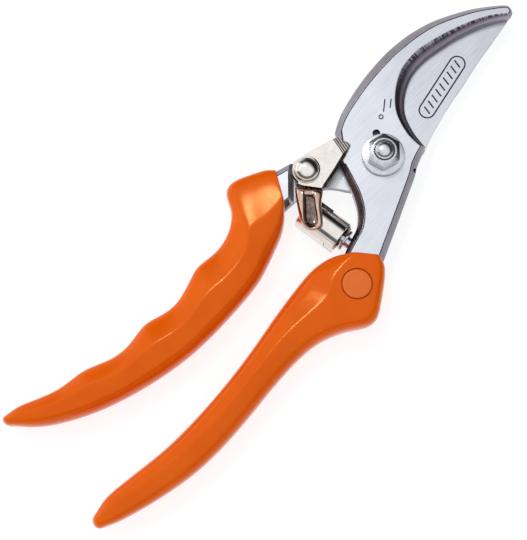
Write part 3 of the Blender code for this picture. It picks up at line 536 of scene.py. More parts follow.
def hand_over(name, bm, finishes, body, node, sharp=32.0, levels=0, steady=False):
    """Makes the finished piece in the frame's metres. It rides on its body when the body is given by
    name, is otherwise only baked in place, and stands for its CAD node."""
    bm.transform(TO_FRAME)
    mesh = bpy.data.meshes.new(name)
    bm.to_mesh(mesh)
    bm.free()
    for finish in finishes:
        mesh.materials.append(finish)
    mesh.shade_smooth()
    mesh.set_sharp_from_angle(angle=radians(sharp))
    thing = bpy.data.objects.new(name, mesh)
    bpy.context.scene.collection.objects.link(thing)
    if levels:
        smooth = thing.modifiers.new("smooth", "SUBSURF")
        smooth.levels = smooth.render_levels = levels
    if steady:
        even = thing.modifiers.new("flat faces stay flat", "WEIGHTED_NORMAL")
        even.keep_sharp = True
    if isinstance(body, str):
        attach(thing, body)
    else:
        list(body[0])
        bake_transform(thing)
    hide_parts(node)
    return thing


# ---- Settings ------------------------------------------------------------------------------------


def colour_setting(name, description, colour):
    """A setting that holds a colour."""
    return StringProperty(name=name, description=description + ", as an sRGB hex value", default=colour)


class ShearsSteel(bpy.types.PropertyGroup):
    """Sizes and colours of the two forged halves."""

    step_width: FloatProperty(
        name="Edge line", description="Width of the line between a ground face and its bevel", default=0.34,
        min=0.05, max=0.6)
    stamp_depth: FloatProperty(
        name="Stamp depth", description="Depth of the stamped marks", default=0.22, min=0.05, max=0.6)
    turn: FloatProperty(
        name="Grinding direction", description="Direction of the grinding lines in plan",
        default=radians(-62), subtype="ANGLE", unit="ROTATION")
    face: colour_setting("Face", "Ground faces", "D2D5DA")
    face_dark: colour_setting("Face lines", "Grinding lines", "BDC0C7")
    # Partly painted shade: the flanks' grey is the forged steel's duller finish and also the shadowed floor
    # that they reflect.
    flank: colour_setting("Flank", "Forged flanks", "A8A4AC")
    flank_dark: colour_setting("Flank grain", "Grain of the flanks", "8C8892")
    # Painted reflection: the hollow edge, its ticks and its shade beside the face are coloured dark for the
    # dark reflection of the hollow.
    hollow: colour_setting("Hollow edge", "Hollow-ground edge", "9C96A2")
    hollow_dark: colour_setting("Hollow ticks", "Grinding ticks in the hollow edge", "3A353D")
    hollow_shade: colour_setting("Hollow shade", "Hollow-ground edge beside the face", "5C5560")
    # Painted shade: the wall beside the spring is coloured darker for the shade between the parts.
    spring_wall_shade: colour_setting("Shaded side", "The wall beside the spring", "B2A6AA")
    spring_wall_shade_dark: colour_setting("Deeper shade of side", "Darker parts of the wall beside the spring", "857A7E")
    # Painted shade: the stamped marks' recesses and the fine step round each ground face are coloured dark
    # for the shade in them.
    mark: colour_setting("Marks", "Stamped marks and edge lines", "45424B")


class ShearsGrips(bpy.types.PropertyGroup):
    """Sizes and colours of the two grips."""

    ridge: FloatProperty(
        name="Ridge radius", description="Half the width of the ridge along each grip", default=0.45, min=0.1,
        max=2.0)
    groove: FloatProperty(
        name="Plug groove", description="Width of the groove round the plug", default=0.3, min=0.1, max=0.6)
    vinyl: colour_setting("Vinyl", "Dipped vinyl", "F06302")
    vinyl_deep: colour_setting("Deep vinyl", "Deeper tone of the dipped vinyl", "EC5D00")
    plug: colour_setting("Plug", "Moulded plug", "F27A3A")
    plug_deep: colour_setting("Deep plug", "Deeper tone of the moulded plug", "EE6E2C")


class ShearsFittings(bpy.types.PropertyGroup):
    """Sizes and colours of the pivot, the catch and the spring."""

    wire: FloatProperty(
        name="Wire radius", description="Radius of the spring wire", default=0.58, min=0.3, max=0.6)
    turns: IntProperty(name="Turns", description="Turns of the coil spring", default=11, min=6, max=16)
    zinc: colour_setting("Zinc", "Zinc plate", "D2D4D8")
    zinc_dark: colour_setting("Dull zinc", "Rubbed zinc plate", "B4B7BC")
    nickel: colour_setting("Nickel", "Nickel plate", "E6E1DB")
    nickel_dark: colour_setting("Dull nickel", "Rubbed nickel plate", "D6CFC6")
    # Painted reflection: the strap's nickel is tinted warm and pinkish for the orange grips that its rims
    # reflect.
    strap: colour_setting("Strap", "Nickel plate of the strap, over copper", "D0B6A6")
    strap_dark: colour_setting("Strap shade", "Rubbed nickel plate of the strap", "B39584")
    # Painted shade and reflection: darker nickel for the strap's trough, the catch's sides, and the sleeve's
    # bore, slot and tab.
    shade_painted: colour_setting("Shade-painted nickel", "Nickel plate in the trough and on the sleeve", "8E8078")
    shade_painted_dark: colour_setting("Smoked shade", "Darkest nickel plate", "3F3632")
    wire_steel: colour_setting("Wire", "Oiled spring wire", "B9AFA2")
    wire_dark: colour_setting("Wire shade", "Oil on the spring wire", "7C7166")
    bronze: colour_setting("Bronze", "Sintered bronze", "B58A52")


class ShearsStage(bpy.types.PropertyGroup):
    """The camera, the lights and the floor."""

    lens: FloatProperty(name="Lens", description="Focal length", default=100.0, min=20.0, unit="CAMERA")
    distance: FloatProperty(
        name="Distance", description="From the camera to the shears", default=0.49, min=0.1, unit="LENGTH")
    azimuth: FloatProperty(
        name="Azimuth", description="Direction of the camera in plan", default=radians(-45), subtype="ANGLE")
    elevation: FloatProperty(
        name="Elevation", description="Height of the camera over the floor", default=radians(78.7),
        subtype="ANGLE")
    target: FloatVectorProperty(
        name="Target", description="What the camera looks at", default=(-0.013007, 0.004773, 0.008),
        subtype="XYZ", unit="LENGTH")
    key: FloatProperty(name="Key light", description="Power of the small softbox above", default=1.25,
                       unit="POWER")
    fill: FloatProperty(name="Side light", description="Power of the softbox at the side", default=2.0,
                        unit="POWER")
    room: FloatProperty(name="Room", description="Strength of the light from all round", default=1.0, min=0.0)
    glow: FloatProperty(name="Table glow", description="Strength of the light from the table", default=0.8,
                        min=0.0)
    floor: colour_setting("Floor", "Floor", "969899")


# ---- The forged halves ---------------------------------------------------------------------------

FACE, FLANK_FINISH, HOLLOW, STAMP_AND_EDGE_SHADE, SPRING_WALL_SHADE = range(5)


def steel_finishes():
    """The finishes of the forged halves, made once."""
    chosen = bpy.context.scene.shears_steel
    names = ("ground_chrome_vanadium_steel", "tumbled_forged_steel", "hollow_ground_steel", "stamped_steel",
             "burnished_steel")
    if names[0] not in bpy.data.materials:
        ground_steel("ground_chrome_vanadium_steel", chosen.face, chosen.face_dark, chosen.turn, 0.34)
        # Forged flanks, their grey partly painted shade of the floor they reflect.
        forged_steel("tumbled_forged_steel", chosen.flank, chosen.flank_dark, 0.42, 0.45, 0.03)
        hollow_ground_steel("hollow_ground_steel", chosen.hollow, chosen.hollow_dark, chosen.hollow_shade,
                            TICKS_FROM)
        # Painted shade for the stamp recesses and the fine step round each face.
        forged_steel("stamped_steel", chosen.mark, "3C3A42", 0.5, 0.3, 0.02)
        # Painted shade on the wall beside the spring.
        forged_steel("burnished_steel", chosen.spring_wall_shade, chosen.spring_wall_shade_dark, 0.24, 0.6, 0.02)
    return [bpy.data.materials[name] for name in names]


# How a bevel falls from the face to the edge: (share of its width from the edge, share of its depth).
STRAIGHT = [(0.0, 1.0), (0.06, 0.88), (0.3, 0.62), (0.6, 0.33), (0.94, 0.04)]
CONCAVE = [(0.0, 1.0), (0.07, 0.74), (0.25, 0.5), (0.48, 0.26), (0.74, 0.09)]
# The wall beside the spring is painted darker, as shade between the parts, down to this X, where it goes into
# the grip.
SPRING_WALL_SHADE_TO = -33.0
# The ticks in the hollow edge come in over this length along the outline.
TICKS_FROM = (160.0, 172.0)
# The runs of HOOK_RUNS that are hollow-ground and painted with shade beside the spring, and the depth of a
# face's line.
HOLLOW_RUN, SPRING_WALL_SHADE_RUN = 1, 5
LINE_DEPTH = 0.1


def forged_blank(runs, hollow_run, spring_wall_shade_run, line_width, steps=7):
    """A half's blank at full thickness, with its bevels above and below and a fine step round each
    face; the step is painted dark, as shade, where the bevel is deep."""
    outline = closed_outline(runs, steps)
    hollow = [point[4] == hollow_run for point in outline]

    def level(top):
        rings = []
        for k in range(len(STRAIGHT)):
            share = [(CONCAVE if deep else STRAIGHT)[k] for deep in hollow]
            plan = inset(outline, [p[2] * s[0] for p, s in zip(outline, share)])
            drop = [p[3] * s[1] for p, s in zip(outline, share)]
            rings.append([(v.x, v.y, FORGED_HIGH - d if top else FORGED_LOW + d) for v, d in zip(plan, drop)])
        plan = inset(outline, [p[2] for p in outline])
        rings.append([(v.x, v.y, FORGED_HIGH - LINE_DEPTH if top else FORGED_LOW + LINE_DEPTH) for v in plan])
        plan = inset(outline, [p[2] + line_width for p in outline])
        rings.append([(v.x, v.y, FORGED_HIGH if top else FORGED_LOW) for v in plan])
        return rings

    below = level(False)[::-1]
    above = level(True)
    count = len(above)

    def finish_of(ring, i):
        step = ring - count if ring >= count else count - 2 - ring
        # The wall beside the spring takes the painted shade colour.
        spring_side = outline[i][4] == spring_wall_shade_run and outline[i][0] > SPRING_WALL_SHADE_TO
        if ring == count - 1:
            return SPRING_WALL_SHADE if spring_side else FLANK_FINISH
        # Painted shade: the fine step round a face is coloured dark where its bevel is deep.
        if step == count - 2:
            return STAMP_AND_EDGE_SHADE if outline[i][3] > 1.5 and not hollow[i] else FACE
        if hollow[i] and hollow[(i + 1) % len(hollow)]:
            return HOLLOW
        return SPRING_WALL_SHADE if spring_side else FLANK_FINISH

    rise = [share for share, _ in CONCAVE] + [1.0, 1.0]
    return loft(below + above, finish_of, "edge", rise[::-1] + rise)


def stadium(start, end, radius, sides=16):
    """The outline of a slot between two points."""
    start, end = Vector(start), Vector(end)
    way = atan2(end.y - start.y, end.x - start.x)
    outline = []
    for middle, first in ((end, way - pi / 2), (start, way + pi / 2)):
        for k in range(sides + 1):
            angle = first + pi * k / sides
            outline.append((middle.x + radius * cos(angle), middle.y + radius * sin(angle)))
    return outline


def stamped_frame(start, end, outer, inner, low, high):
    """A slot-shaped band, used to cut the line of a stamp."""
    rings = [[(x, y, low) for x, y in stadium(start, end, radius)] for radius in (outer, inner)]
    # Its walls take the painted shade colour.
    return dyed(extruded(rings[0], (0, 0, high - low), rings[1]), STAMP_AND_EDGE_SHADE)


def stroke(middle, length, width, turn, low, high):
    """A short bar, used to cut a mark."""
    place = Matrix.Translation((*middle, (low + high) / 2)) @ Matrix.Rotation(turn, 4, "Z")
    # Its walls take the painted shade colour.
    return dyed(block((length, width, high - low), place), STAMP_AND_EDGE_SHADE)


HUB_REACH = 11.8
PIVOT_HOLE = 4.6
# How far a cutter runs past the piece that it cuts.
PAST = 5.0
OIL_HOLE_AT = (3.9, 6.8)
NICK_AT = (4.2, -10.9)
STAMP_FROM = (22.9, 1.1)
STAMP_TO = (41.8, 5.2)
STAMP_RADIUS = 2.9
STAMP_LINE = 0.52
STROKES = 9


class SHEARS_OT_hook_half(bpy.types.Operator):
    """Model the forged half with the hook"""

    bl_idname = "shears.hook_half"
    bl_label = "Hook half"

    def execute(self, context):
        chosen = context.scene.shears_steel
        arc = [(HUB_REACH * cos(radians(a)), HUB_REACH * sin(radians(a))) for a in range(-74, -146, -4)]
        head = [(-13.5, -4.9), (-16.6, -0.2), (-22.0, 8.0), (-30.0, 45.0), (90.0, 45.0), (90.0, -16.0),
                (3.6, -16.0)]
        lap = extruded([(x, y, FORGED_LOW - PAST) for x, y in arc + head],
                       (0, 0, HOOK_LOW - FORGED_LOW + PAST))
        socket = rod(2.2, -6, 6, sides=32)
        socket.transform(Matrix.Translation(SPRING_WAY * (SPRING_LENGTH - 2.8)) @ TO_SPRING)
        low, high = FORGED_HIGH - chosen.stamp_depth, FORGED_HIGH + 1
        plain = [lap, rod(PIVOT_HOLE, FORGED_LOW - PAST, FORGED_HIGH + PAST), socket]
        marks = [
            rod(1.3, FORGED_HIGH - 1.2, FORGED_HIGH + 3, OIL_HOLE_AT, 32),
            rod(0.75, FORGED_HIGH - 3.6, FORGED_HIGH + PAST, NICK_AT, 32),
            # An inspector's ring and two plain strokes beside it.
            stamped_frame((9.0, 9.6), (9.05, 9.62), 0.85, 0.45, low, high),
            stroke((12.6, 11.6), 4.4, 0.42, radians(38), low, high),
            stroke((14.6, 10.6), 3.2, 0.42, radians(38), low, high),
        ]
        # The walls of the cut marks take the painted shade colour.
        cuts = [dyed(cutter, FLANK_FINISH) for cutter in plain] + [dyed(cutter, STAMP_AND_EDGE_SHADE) for cutter in marks]
        finishes = steel_finishes()
        half = carved(forged_blank(HOOK_RUNS, HOLLOW_RUN, SPRING_WALL_SHADE_RUN, chosen.step_width), finishes, cuts)
        hand_over("hook_forging", half, finishes, "hook_side", "hook_half", 24, steady=True)
        return {"FINISHED"}


class SHEARS_OT_blade_half(bpy.types.Operator):
    """Model the forged half with the cutting blade"""

    bl_idname = "shears.blade_half"
    bl_label = "Blade half"

    def execute(self, context):
        chosen = context.scene.shears_steel
        foot = Vector((0.707, -0.707)) * 2.0
        top_edge, bottom_edge = Vector((-18.4, 25.8)), Vector((-38.6, 5.6))
        around = [Vector(p) for p in ((-38.6, -40.0), (90.0, -40.0), (90.0, 45.0), (-18.4, 45.0))]
        rise = FORGED_HIGH - BLADE_HIGH
        rings = []
        for z, share in ((BLADE_HIGH, 1.0), (BLADE_HIGH + 2 * rise, -1.0)):
            edge = [bottom_edge + foot * share, *around, top_edge + foot * share]
            rings.append([(p.x, p.y, z) for p in edge])
        low, high = BLADE_HIGH - chosen.stamp_depth, BLADE_HIGH + 1
        line = Vector(STAMP_TO) - Vector(STAMP_FROM)
        turn = atan2(line.y, line.x)
        cuts = [dyed(loft(rings), FACE)]
        for radius, spot in ((PIVOT_HOLE, (0.0, 0.0)), (RIVET_HOLE, RIVET_AT)):
            cuts.append(dyed(rod(radius, FORGED_LOW - PAST, FORGED_HIGH + PAST, spot), FLANK_FINISH))
        cuts.append(stamped_frame(STAMP_FROM, STAMP_TO, STAMP_RADIUS, STAMP_RADIUS - STAMP_LINE, low, high))
        # A plain row of slanted strokes fills the frame.
        for k in range(STROKES):
            spot = Vector(STAMP_FROM) + line * (k / (STROKES - 1))
            cuts.append(stroke(spot, 3.1, 0.55, turn + radians(68), low, high))
        finishes = steel_finishes()
        half = carved(forged_blank(BLADE_RUNS, None, None, chosen.step_width), finishes, cuts)
        hand_over("blade_forging", half, finishes, "blade_side", "blade_half", 24,
                  steady=True)
        return {"FINISHED"}


# ---- The grips -----------------------------------------------------------------------------------

# The upper half of a grip's section, from its outer wall to its inner wall, at shares of its length. A
# point is a share across, 1 at the outer wall and -1 at the inner one, and a share of its height over
# the middle.
BLADE_SECTIONS = [
    (0.00, -0.50, [(1.0, 0.24), (0.94, 0.62), (0.80, 0.78), (0.3, 0.90), (-0.80, 0.90), (-0.94, 0.66),
                   (-1.0, 0.28)]),
    (0.08, -0.36, [(1.0, 0.24), (0.94, 0.60), (0.80, 0.74), (0.3, 0.88), (-0.78, 0.89), (-0.94, 0.62),
                   (-1.0, 0.28)]),
    (0.16, -0.12, [(1.0, 0.24), (0.94, 0.56), (0.80, 0.70), (0.35, 0.87), (-0.74, 0.87), (-0.92, 0.6),
                   (-1.0, 0.28)]),
    (0.40, 0.02, [(1.0, 0.24), (0.94, 0.54), (0.80, 0.68), (0.4, 0.86), (-0.70, 0.85), (-0.90, 0.58),
                  (-1.0, 0.26)]),
    (0.75, 0.12, [(1.0, 0.24), (0.94, 0.54), (0.80, 0.70), (0.46, 0.87), (-0.66, 0.85), (-0.88, 0.58),
                  (-1.0, 0.26)]),
    (1.00, 0.16, [(1.0, 0.24), (0.94, 0.56), (0.80, 0.72), (0.46, 0.88), (-0.6, 0.86), (-0.86, 0.60),
                  (-1.0, 0.28)]),
]
HOOK_SECTIONS = [
    (0.00, -0.42, [(1.0, 0.34), (0.95, 0.74), (0.82, 0.93), (0.62, 0.96), (-0.80, 0.82), (-0.94, 0.60),
                   (-1.0, 0.28)]),
    (0.10, -0.38, [(1.0, 0.34), (0.95, 0.72), (0.84, 0.90), (0.62, 0.95), (-0.80, 0.80), (-0.94, 0.58),
                   (-1.0, 0.28)]),
    (0.17, -0.24, [(1.0, 0.32), (0.94, 0.66), (0.80, 0.84), (0.5, 0.93), (-0.76, 0.78), (-0.92, 0.56),
                   (-1.0, 0.28)]),
    (0.26, -0.18, [(1.0, 0.30), (0.92, 0.60), (0.76, 0.78), (0.56, 0.89), (-0.74, 0.77), (-0.92, 0.54),
                   (-1.0, 0.26)]),
    (0.60, -0.12, [(1.0, 0.30), (0.92, 0.60), (0.78, 0.77), (0.58, 0.89), (-0.72, 0.76), (-0.92, 0.54),
                   (-1.0, 0.26)]),
    (0.85, -0.18, [(1.0, 0.30), (0.92, 0.60), (0.78, 0.78), (0.58, 0.90), (-0.74, 0.78), (-0.92, 0.54),
                   (-1.0, 0.26)]),
    (1.00, -0.18, [(1.0, 0.30), (0.92, 0.62), (0.78, 0.80), (0.58, 0.91), (-0.74, 0.80), (-0.92, 0.56),
                   (-1.0, 0.28)]),
]
UNDERSIDE = [(-1.0, -0.28), (-0.9, -0.68), (-0.62, -0.92), (-0.2, -1.0), (0.2, -1.0), (0.62, -0.92),
             (0.9, -0.68),
             (1.0, -0.28)]
GRIP_END_THICKNESS = 10.4
GRIP_TAPER_FROM = 0.55


def even_points(knots, count):
    """Points at even steps of length along a curve through the knots."""
    points = [Vector(point) for point in curve_through(knots, 8)]
    lengths = [0.0]
    for a, b in zip(points, points[1:]):
        lengths.append(lengths[-1] + (b - a).length)
    found, i = [], 0
    for step in range(count):
        wanted = lengths[-1] * step / (count - 1)
        while i < len(lengths) - 2 and lengths[i + 1] < wanted:
            i += 1
        share = (wanted - lengths[i]) / (lengths[i + 1] - lengths[i])
        found.append(points[i].lerp(points[i + 1], share))
    return found


def section_at(sections, share):
    """(ridge, upper half) at a share of the grip's length."""
    for near, far in zip(sections, sections[1:]):
        if share <= far[0]:
            t = (share - near[0]) / (far[0] - near[0])
            t = t * t * (3 - 2 * t)
            upper = [(a[0] + (b[0] - a[0]) * t, a[1] + (b[1] - a[1]) * t) for a, b in zip(near[2], far[2])]
            return near[1] + (far[1] - near[1]) * t, upper
    return sections[-1][1], sections[-1][2]


def crisp(points, number, near, hold):
    """Holds one corner of a section sharp under subdivision, with two close points on either side of
    it."""
    corner = Vector(points[number])
    fresh = []
    for other, distances in ((points[number - 1], (hold, near)), (points[number + 1], (near, hold))):
        way = Vector(other) - corner
        fresh += [tuple(corner + way * min(d / way.length, 0.45)) for d in distances]
    return points[:number] + fresh + points[number + 1:]


def grip_ring(outer, inner, thickness, section, ridge_half, squeeze=1.0):
    """One ring of the cage: walls, shoulders, two crisp ridges along the top, and the underside."""
    middle, reach = (outer + inner) / 2, (outer - inner) / 2
    ridge, upper = section
    wide, tall = reach.length, thickness / 2
    top = [(across * wide, up * tall) for across, up in upper[:4] + [(ridge, 1.0)] + upper[4:]]
    top = crisp(top, 5, ridge_half * 1.3, ridge_half * 3.5)
    top = crisp(top, 4, ridge_half, ridge_half * 3.5)
    ring = []
    for across, up in top + [(across * wide, up * tall) for across, up in UNDERSIDE]:
        spot = middle + reach.normalized() * across * squeeze
        ring.append((spot.x, spot.y, SHEAR_Z + up * squeeze))
    return ring


def grip_cage(outer_knots, inner_knots, sections, stations, ridge_half):
    """A grip's cage, from the mouth that the steel leaves to the rounded far end."""
    outer, inner = even_points(outer_knots, stations), even_points(inner_knots, stations)
    out = ((outer[0] - outer[1]) + (inner[0] - inner[1])).normalized()
    rings = []
    # The mouth turns in on itself, so that the skin has an edge round the steel.
    mouth, far_end = section_at(sections, 0.0), section_at(sections, 1.0)
    for shift, squeeze in ((-1.6, 0.80), (0.0, 0.84), (0.45, 0.93), (0.25, 0.985)):
        spot = out * shift
        rings.append(grip_ring(outer[0] + spot, inner[0] + spot, GRIP_HIGH, mouth, ridge_half, squeeze))
    for i in range(stations):
        share = i / (stations - 1)
        late = max(0.0, (share - GRIP_TAPER_FROM) / (1.0 - GRIP_TAPER_FROM))
        thickness = GRIP_HIGH + (GRIP_END_THICKNESS - GRIP_HIGH) * late * late
        rings.append(grip_ring(outer[i], inner[i], thickness, section_at(sections, share), ridge_half))
    onward = ((outer[-1] - outer[-2]) + (inner[-1] - inner[-2])).normalized()
    end = onward * (outer[-1] - inner[-1]).length / 2
    for turn in (25, 48, 68, 82):
        shift = end * sin(radians(turn))
        rings.append(grip_ring(outer[-1] + shift, inner[-1] + shift, GRIP_END_THICKNESS, far_end, ridge_half,
                               cos(radians(turn))))
    return loft(rings)


class SHEARS_OT_grips(bpy.types.Operator):
    """Model the two dipped grips and the plug"""

    bl_idname = "shears.grips"
    bl_label = "Grips and plug"

    def execute(self, context):
        chosen = context.scene.shears_grips
        dipped_vinyl("dipped_vinyl", chosen.vinyl, chosen.vinyl_deep, 0.15, 0.5)
        dipped_vinyl("moulded_vinyl", chosen.plug, chosen.plug_deep, 0.3, 0.35)
        vinyl, moulded = (bpy.data.materials[name] for name in ("dipped_vinyl", "moulded_vinyl"))
        cage = grip_cage(BLADE_GRIP_OUTER, BLADE_GRIP_INNER, BLADE_SECTIONS, 56, chosen.ridge)
        hand_over("blade_grip_skin", cage, [vinyl], "blade_side", "blade_grip", 180, levels=2)
        cage = grip_cage(HOOK_GRIP_OUTER, HOOK_GRIP_INNER, HOOK_SECTIONS, 44, chosen.ridge)
        radius = (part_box("grip_plug")[1].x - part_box("grip_plug")[0].x) / 2 / MM
        recess = rod(radius + chosen.groove, GRIP_HIGH - 1.9, GRIP_HIGH + 3, PLUG_AT, 96)
        cover = carved(cage, [vinyl], cut=[recess], levels=2)
        hand_over("hook_grip_skin", cover, [vinyl], "hook_side", "hook_grip", 40)
        top = high_of("grip_plug")
        plug = spun([(0, top - 0.1), (radius * 0.72, top - 0.06), (radius - 0.55, top),
                     (radius - 0.2, top - 0.07),
                     (radius, top - 0.4), (radius, top - 1.7), (0, top - 1.7)], 96, (*PLUG_AT, 0))
        hand_over("moulded_plug", plug, [moulded], "hook_side", "grip_plug", 40)
        return {"FINISHED"}


# ---- The pivot -----------------------------------------------------------------------------------

BOLT_RADIUS = 3.0
WASHER_BORE = 3.3
WASHER_RIM = 7.1
NUT_FLATS = 10.0
THREAD_PITCH = 0.9


def fitting_finishes():
    """The finishes of the fittings, made once and found by name."""
    chosen = bpy.context.scene.shears_fittings
    if "sintered_bronze" not in bpy.data.materials:
        plated_metal("bright_zinc_plate", chosen.zinc, chosen.zinc_dark, 0.2, 0.008)
        plated_metal("polished_nickel_plate", chosen.nickel, chosen.nickel_dark, 0.1, 0.03)
        # Nickel with a painted warm reflection of the orange grips.
        plated_metal("nickel_over_copper", chosen.strap, chosen.strap_dark, 0.14, 0.03)
        # Painted shade and reflection on nickel: the trough, the catch's sides and the sleeve's recesses.
        plated_metal("smoked_nickel_plate", chosen.shade_painted, chosen.shade_painted_dark, 0.12, 0.03)
        forged_steel("oiled_spring_wire", chosen.wire_steel, chosen.wire_dark, 0.3, 0.8, 0.01)
        forged_steel("sintered_bronze", chosen.bronze, "8A6234", 0.5, 0.3, 0.03)
    return bpy.data.materials


class SHEARS_OT_pivot(bpy.types.Operator):
    """Model the pivot: bolt, nut, two washers and the bush"""

    bl_idname = "shears.pivot"
    bl_label = "Pivot"

    def execute(self, context):
        found = fitting_finishes()
        zinc, bronze = found["bright_zinc_plate"], found["sintered_bronze"]
        shank, bore = BOLT_RADIUS, WASHER_BORE
        tip, head = high_of("pivot_bolt"), low_of("pivot_bolt")
        profile = [(0, tip), (1.2, tip - 0.06), (2.1, tip - 0.3), (2.62, tip - 0.72), (2.7, tip - 0.95)]
        # Thread crests show between the domed end and the nut.
        z = tip - 1.05
        while z > high_of("pivot_nut") - 3.0:
            profile += [(shank, z), (shank, z - 0.12), (2.68, z - 0.45), (2.68, z - 0.55)]
            z -= THREAD_PITCH
        top = low_of("pivot_back_washer") - GAP
        profile += [(shank, z), (shank, top), (6.6, top), (6.9, top - 0.12), (7.0, top - 0.4),
                    (7.0, head + 0.75),
                    (6.85, head + 0.4), (6.4, head + 0.12), (5.6, head), (0, head)]
        hand_over("pivot_bolt_turned", spun(profile, 80), [zinc], "hook_side", "pivot_bolt",
                  28)

        low, high = low_of("pivot_bush"), high_of("pivot_bush")
        bush = spun([(4.3, high - 0.2), (4.3, low + 0.2), (4.1, low), (3.5, low), (bore, low + 0.2),
                     (bore, high - 0.2), (3.5, high), (4.1, high)], 64)
        hand_over("pivot_bush_sintered", bush, [bronze], "hook_side", "pivot_bush", 30)

        for node in ("pivot_washer", "pivot_back_washer"):
            low, high, rim = low_of(node), high_of(node), WASHER_RIM
            ring = spun([(bore, high), (rim - 0.38, high), (rim - 0.16, high - 0.06),
                         (rim - 0.04, high - 0.2),
                         (rim, high - 0.38), (rim, low + 0.1), (rim - 0.1, low), (bore, low)], 96)
            hand_over(node + "_pressed", ring, [zinc], "hook_side", node, 28)

        # A hexagon met with a turned blank, which cuts its corners to arcs.
        low, high = low_of("pivot_nut"), high_of("pivot_nut")
        corner = NUT_FLATS / sqrt(3)
        hexagon = bmesh.new()
        bmesh.ops.create_cone(hexagon, cap_ends=True, segments=6, radius1=corner, radius2=corner,
                              depth=high - low)
        hexagon.transform(Matrix.Translation((0, 0, (low + high) / 2)) @ Matrix.Rotation(radians(15), 4, "Z"))
        soften(hexagon, 0.16, 2)
        blank = spun([(0, high), (4.0, high), (4.12, high - 0.04), (corner + 0.3, high - 0.98),
                      (corner + 0.3, low + 0.6), (corner - 0.35, low), (0, low)], 96)
        sink = spun([(0, high + 1), (3.75, high + 1), (3.6, high), (3.5, high - 0.1), (3.3, high - 0.4),
                     (3.3, low + 0.5), (3.8, low - 0.2), (3.8, low - 1), (0, low - 1)], 80)
        nut = carved(hexagon, [zinc], cut=[sink], within=blank)
        hand_over("pivot_nut_cut", nut, [zinc], "hook_side", "pivot_nut", 24,
                  steady=True)
        return {"FINISHED"}


# ---- The catch -----------------------------------------------------------------------------------

PLATE_THICK = 1.5
THUMB_RIBS = 5
RIB_STEP = 0.84
LUG_AT = (-8.6, 13.2)
RIVET_HEAD = 4.4
RING_RADIUS = 3.7


class SHEARS_OT_catch(bpy.types.Operator):
    """Model the thumb catch, its rivet and the washers on the rivet"""

    bl_idname = "shears.catch"
    bl_label = "Catch"

    def execute(self, context):
        found = fitting_finishes()
        nickel, shade_painted = found["polished_nickel_plate"], found["smoked_nickel_plate"]
        x, y = RIVET_AT
        low, high = PLATE_LOW, PLATE_LOW + PLATE_THICK

        # The plate's side view, across which it is extruded: flat, then down the thumb end in ribs.
        side = [(-8.0, low), (15.0, low), (17.4, low - 0.9), (17.4, low + 0.1)]
        for k in range(THUMB_RIBS):
            near = 17.0 - k * RIB_STEP
            base, crest = high - 1.2 + k * 0.2, high - 0.8 + k * 0.18
            side += [(near, base), (near - 0.12, crest), (near - 0.42, crest + 0.04),
                     (near - 0.52, base + 0.1)]
        side += [(12.9, high), (12.9, high + 1), (-8.0, high + 1)]
        thumb = extruded([(u, 14.0, z) for u, z in side], (0, -28.0, 0))
        for face in thumb.faces:
            # Every face of the thumb's cutter but the flat top takes the painted shade colour.
            face.material_index = 0 if face.normal.z > 0.95 else 1
        thumb.transform(Matrix.Translation((x, y, 0)) @ Matrix.Rotation(radians(-12), 4, "Z"))
        round_end = [(x + 5.0 * cos(radians(a)), y + 5.0 * sin(radians(a)), 0.3) for a in range(90, 187, 6)]
        corners = [(-27.2, 12.6, 0.3), (-26.6, 11.2, 0.3), (-22.9, 5.9, 0.5), (-22.3, 5.6, 0.8),
                   (-21.2, 5.62, 1.0),
                   (-15.0, 6.95, 1.0), (-8.9, 8.5, 1.0), (-5.3, 9.8, 0.6), (-4.95, 10.2, 0.3),
                   (-6.0, 14.4, 0.3),
                   (-6.5, 14.8, 0.3), (-7.9, 15.4, 0.3), (-15.5, 17.5, 0.3)]
        outline = round_end + corners
        rings = []
        for share, z in ((0.1, low - 1.2), (0.0, low - 0.9), (0.0, low + 0.25), (0.5, high - 0.35),
                         (1.0, high)):
            plan = inset(outline, [point[2] * share for point in outline])
            rings.append([(p.x, p.y, z) for p in plan])
        lug = rod(1.4, low_of("lock_catch"), low + 0.6, LUG_AT, 40)
        soften(lug, 0.3, 3, 60, lambda e: min(v.co.z for v in e.verts) < low - 2)
        hole = rod(RIVET_HOLE, low - 2, high + 2, RIVET_AT)
        # The plate's upper walls and bevel take the painted shade colour.
        plate = loft(rings, lambda ring, i: int(ring >= 2))
        catch = carved(plate, [nickel, shade_painted], cut=[hole], joined=[lug], within=thumb)
        hand_over("thumb_catch", catch, [nickel, shade_painted], "catch", "lock_catch", 24,
                  steady=True)

        dome, tail = high + GAP, low_of("catch_rivet")
        head = [(RIVET_HEAD * sin(radians(a)), dome + 0.5 + 2.7 * cos(radians(a))) for a in range(0, 91, 5)]
        rivet = spun(head + [(RIVET_HEAD, dome + 0.12), (RIVET_HEAD - 0.15, dome), (2.0, dome),
                             (2.0, tail + 1.3), (3.5, tail + 1.3),
                             (3.6, tail + 1.15), (3.3, tail + 0.5), (2.8, tail + 0.15), (2.2, tail),
                             (0, tail)],
                     96, (x, y, 0))
        hand_over("catch_rivet_headed", rivet, [nickel], "blade_side", "catch_rivet", 40)

        for node in ("catch_spacer", "catch_wave_washer", "rivet_back_washer"):
            low, high = low_of(node), high_of(node)
            edge = min(0.18, (high - low) / 3)
            rim, bore = RING_RADIUS, RIVET_HOLE
            ring = spun([(rim - edge, high), (rim, high - edge), (rim, low + edge), (rim - edge, low),
                         (bore + edge, low), (bore, low + edge), (bore, high - edge), (bore + edge, high)],
                        72, (x, y, 0))
            hand_over(node + "_pressed", ring, [nickel], "blade_side", node, 30)
        return {"FINISHED"}


# ---- The spring ----------------------------------------------------------------------------------


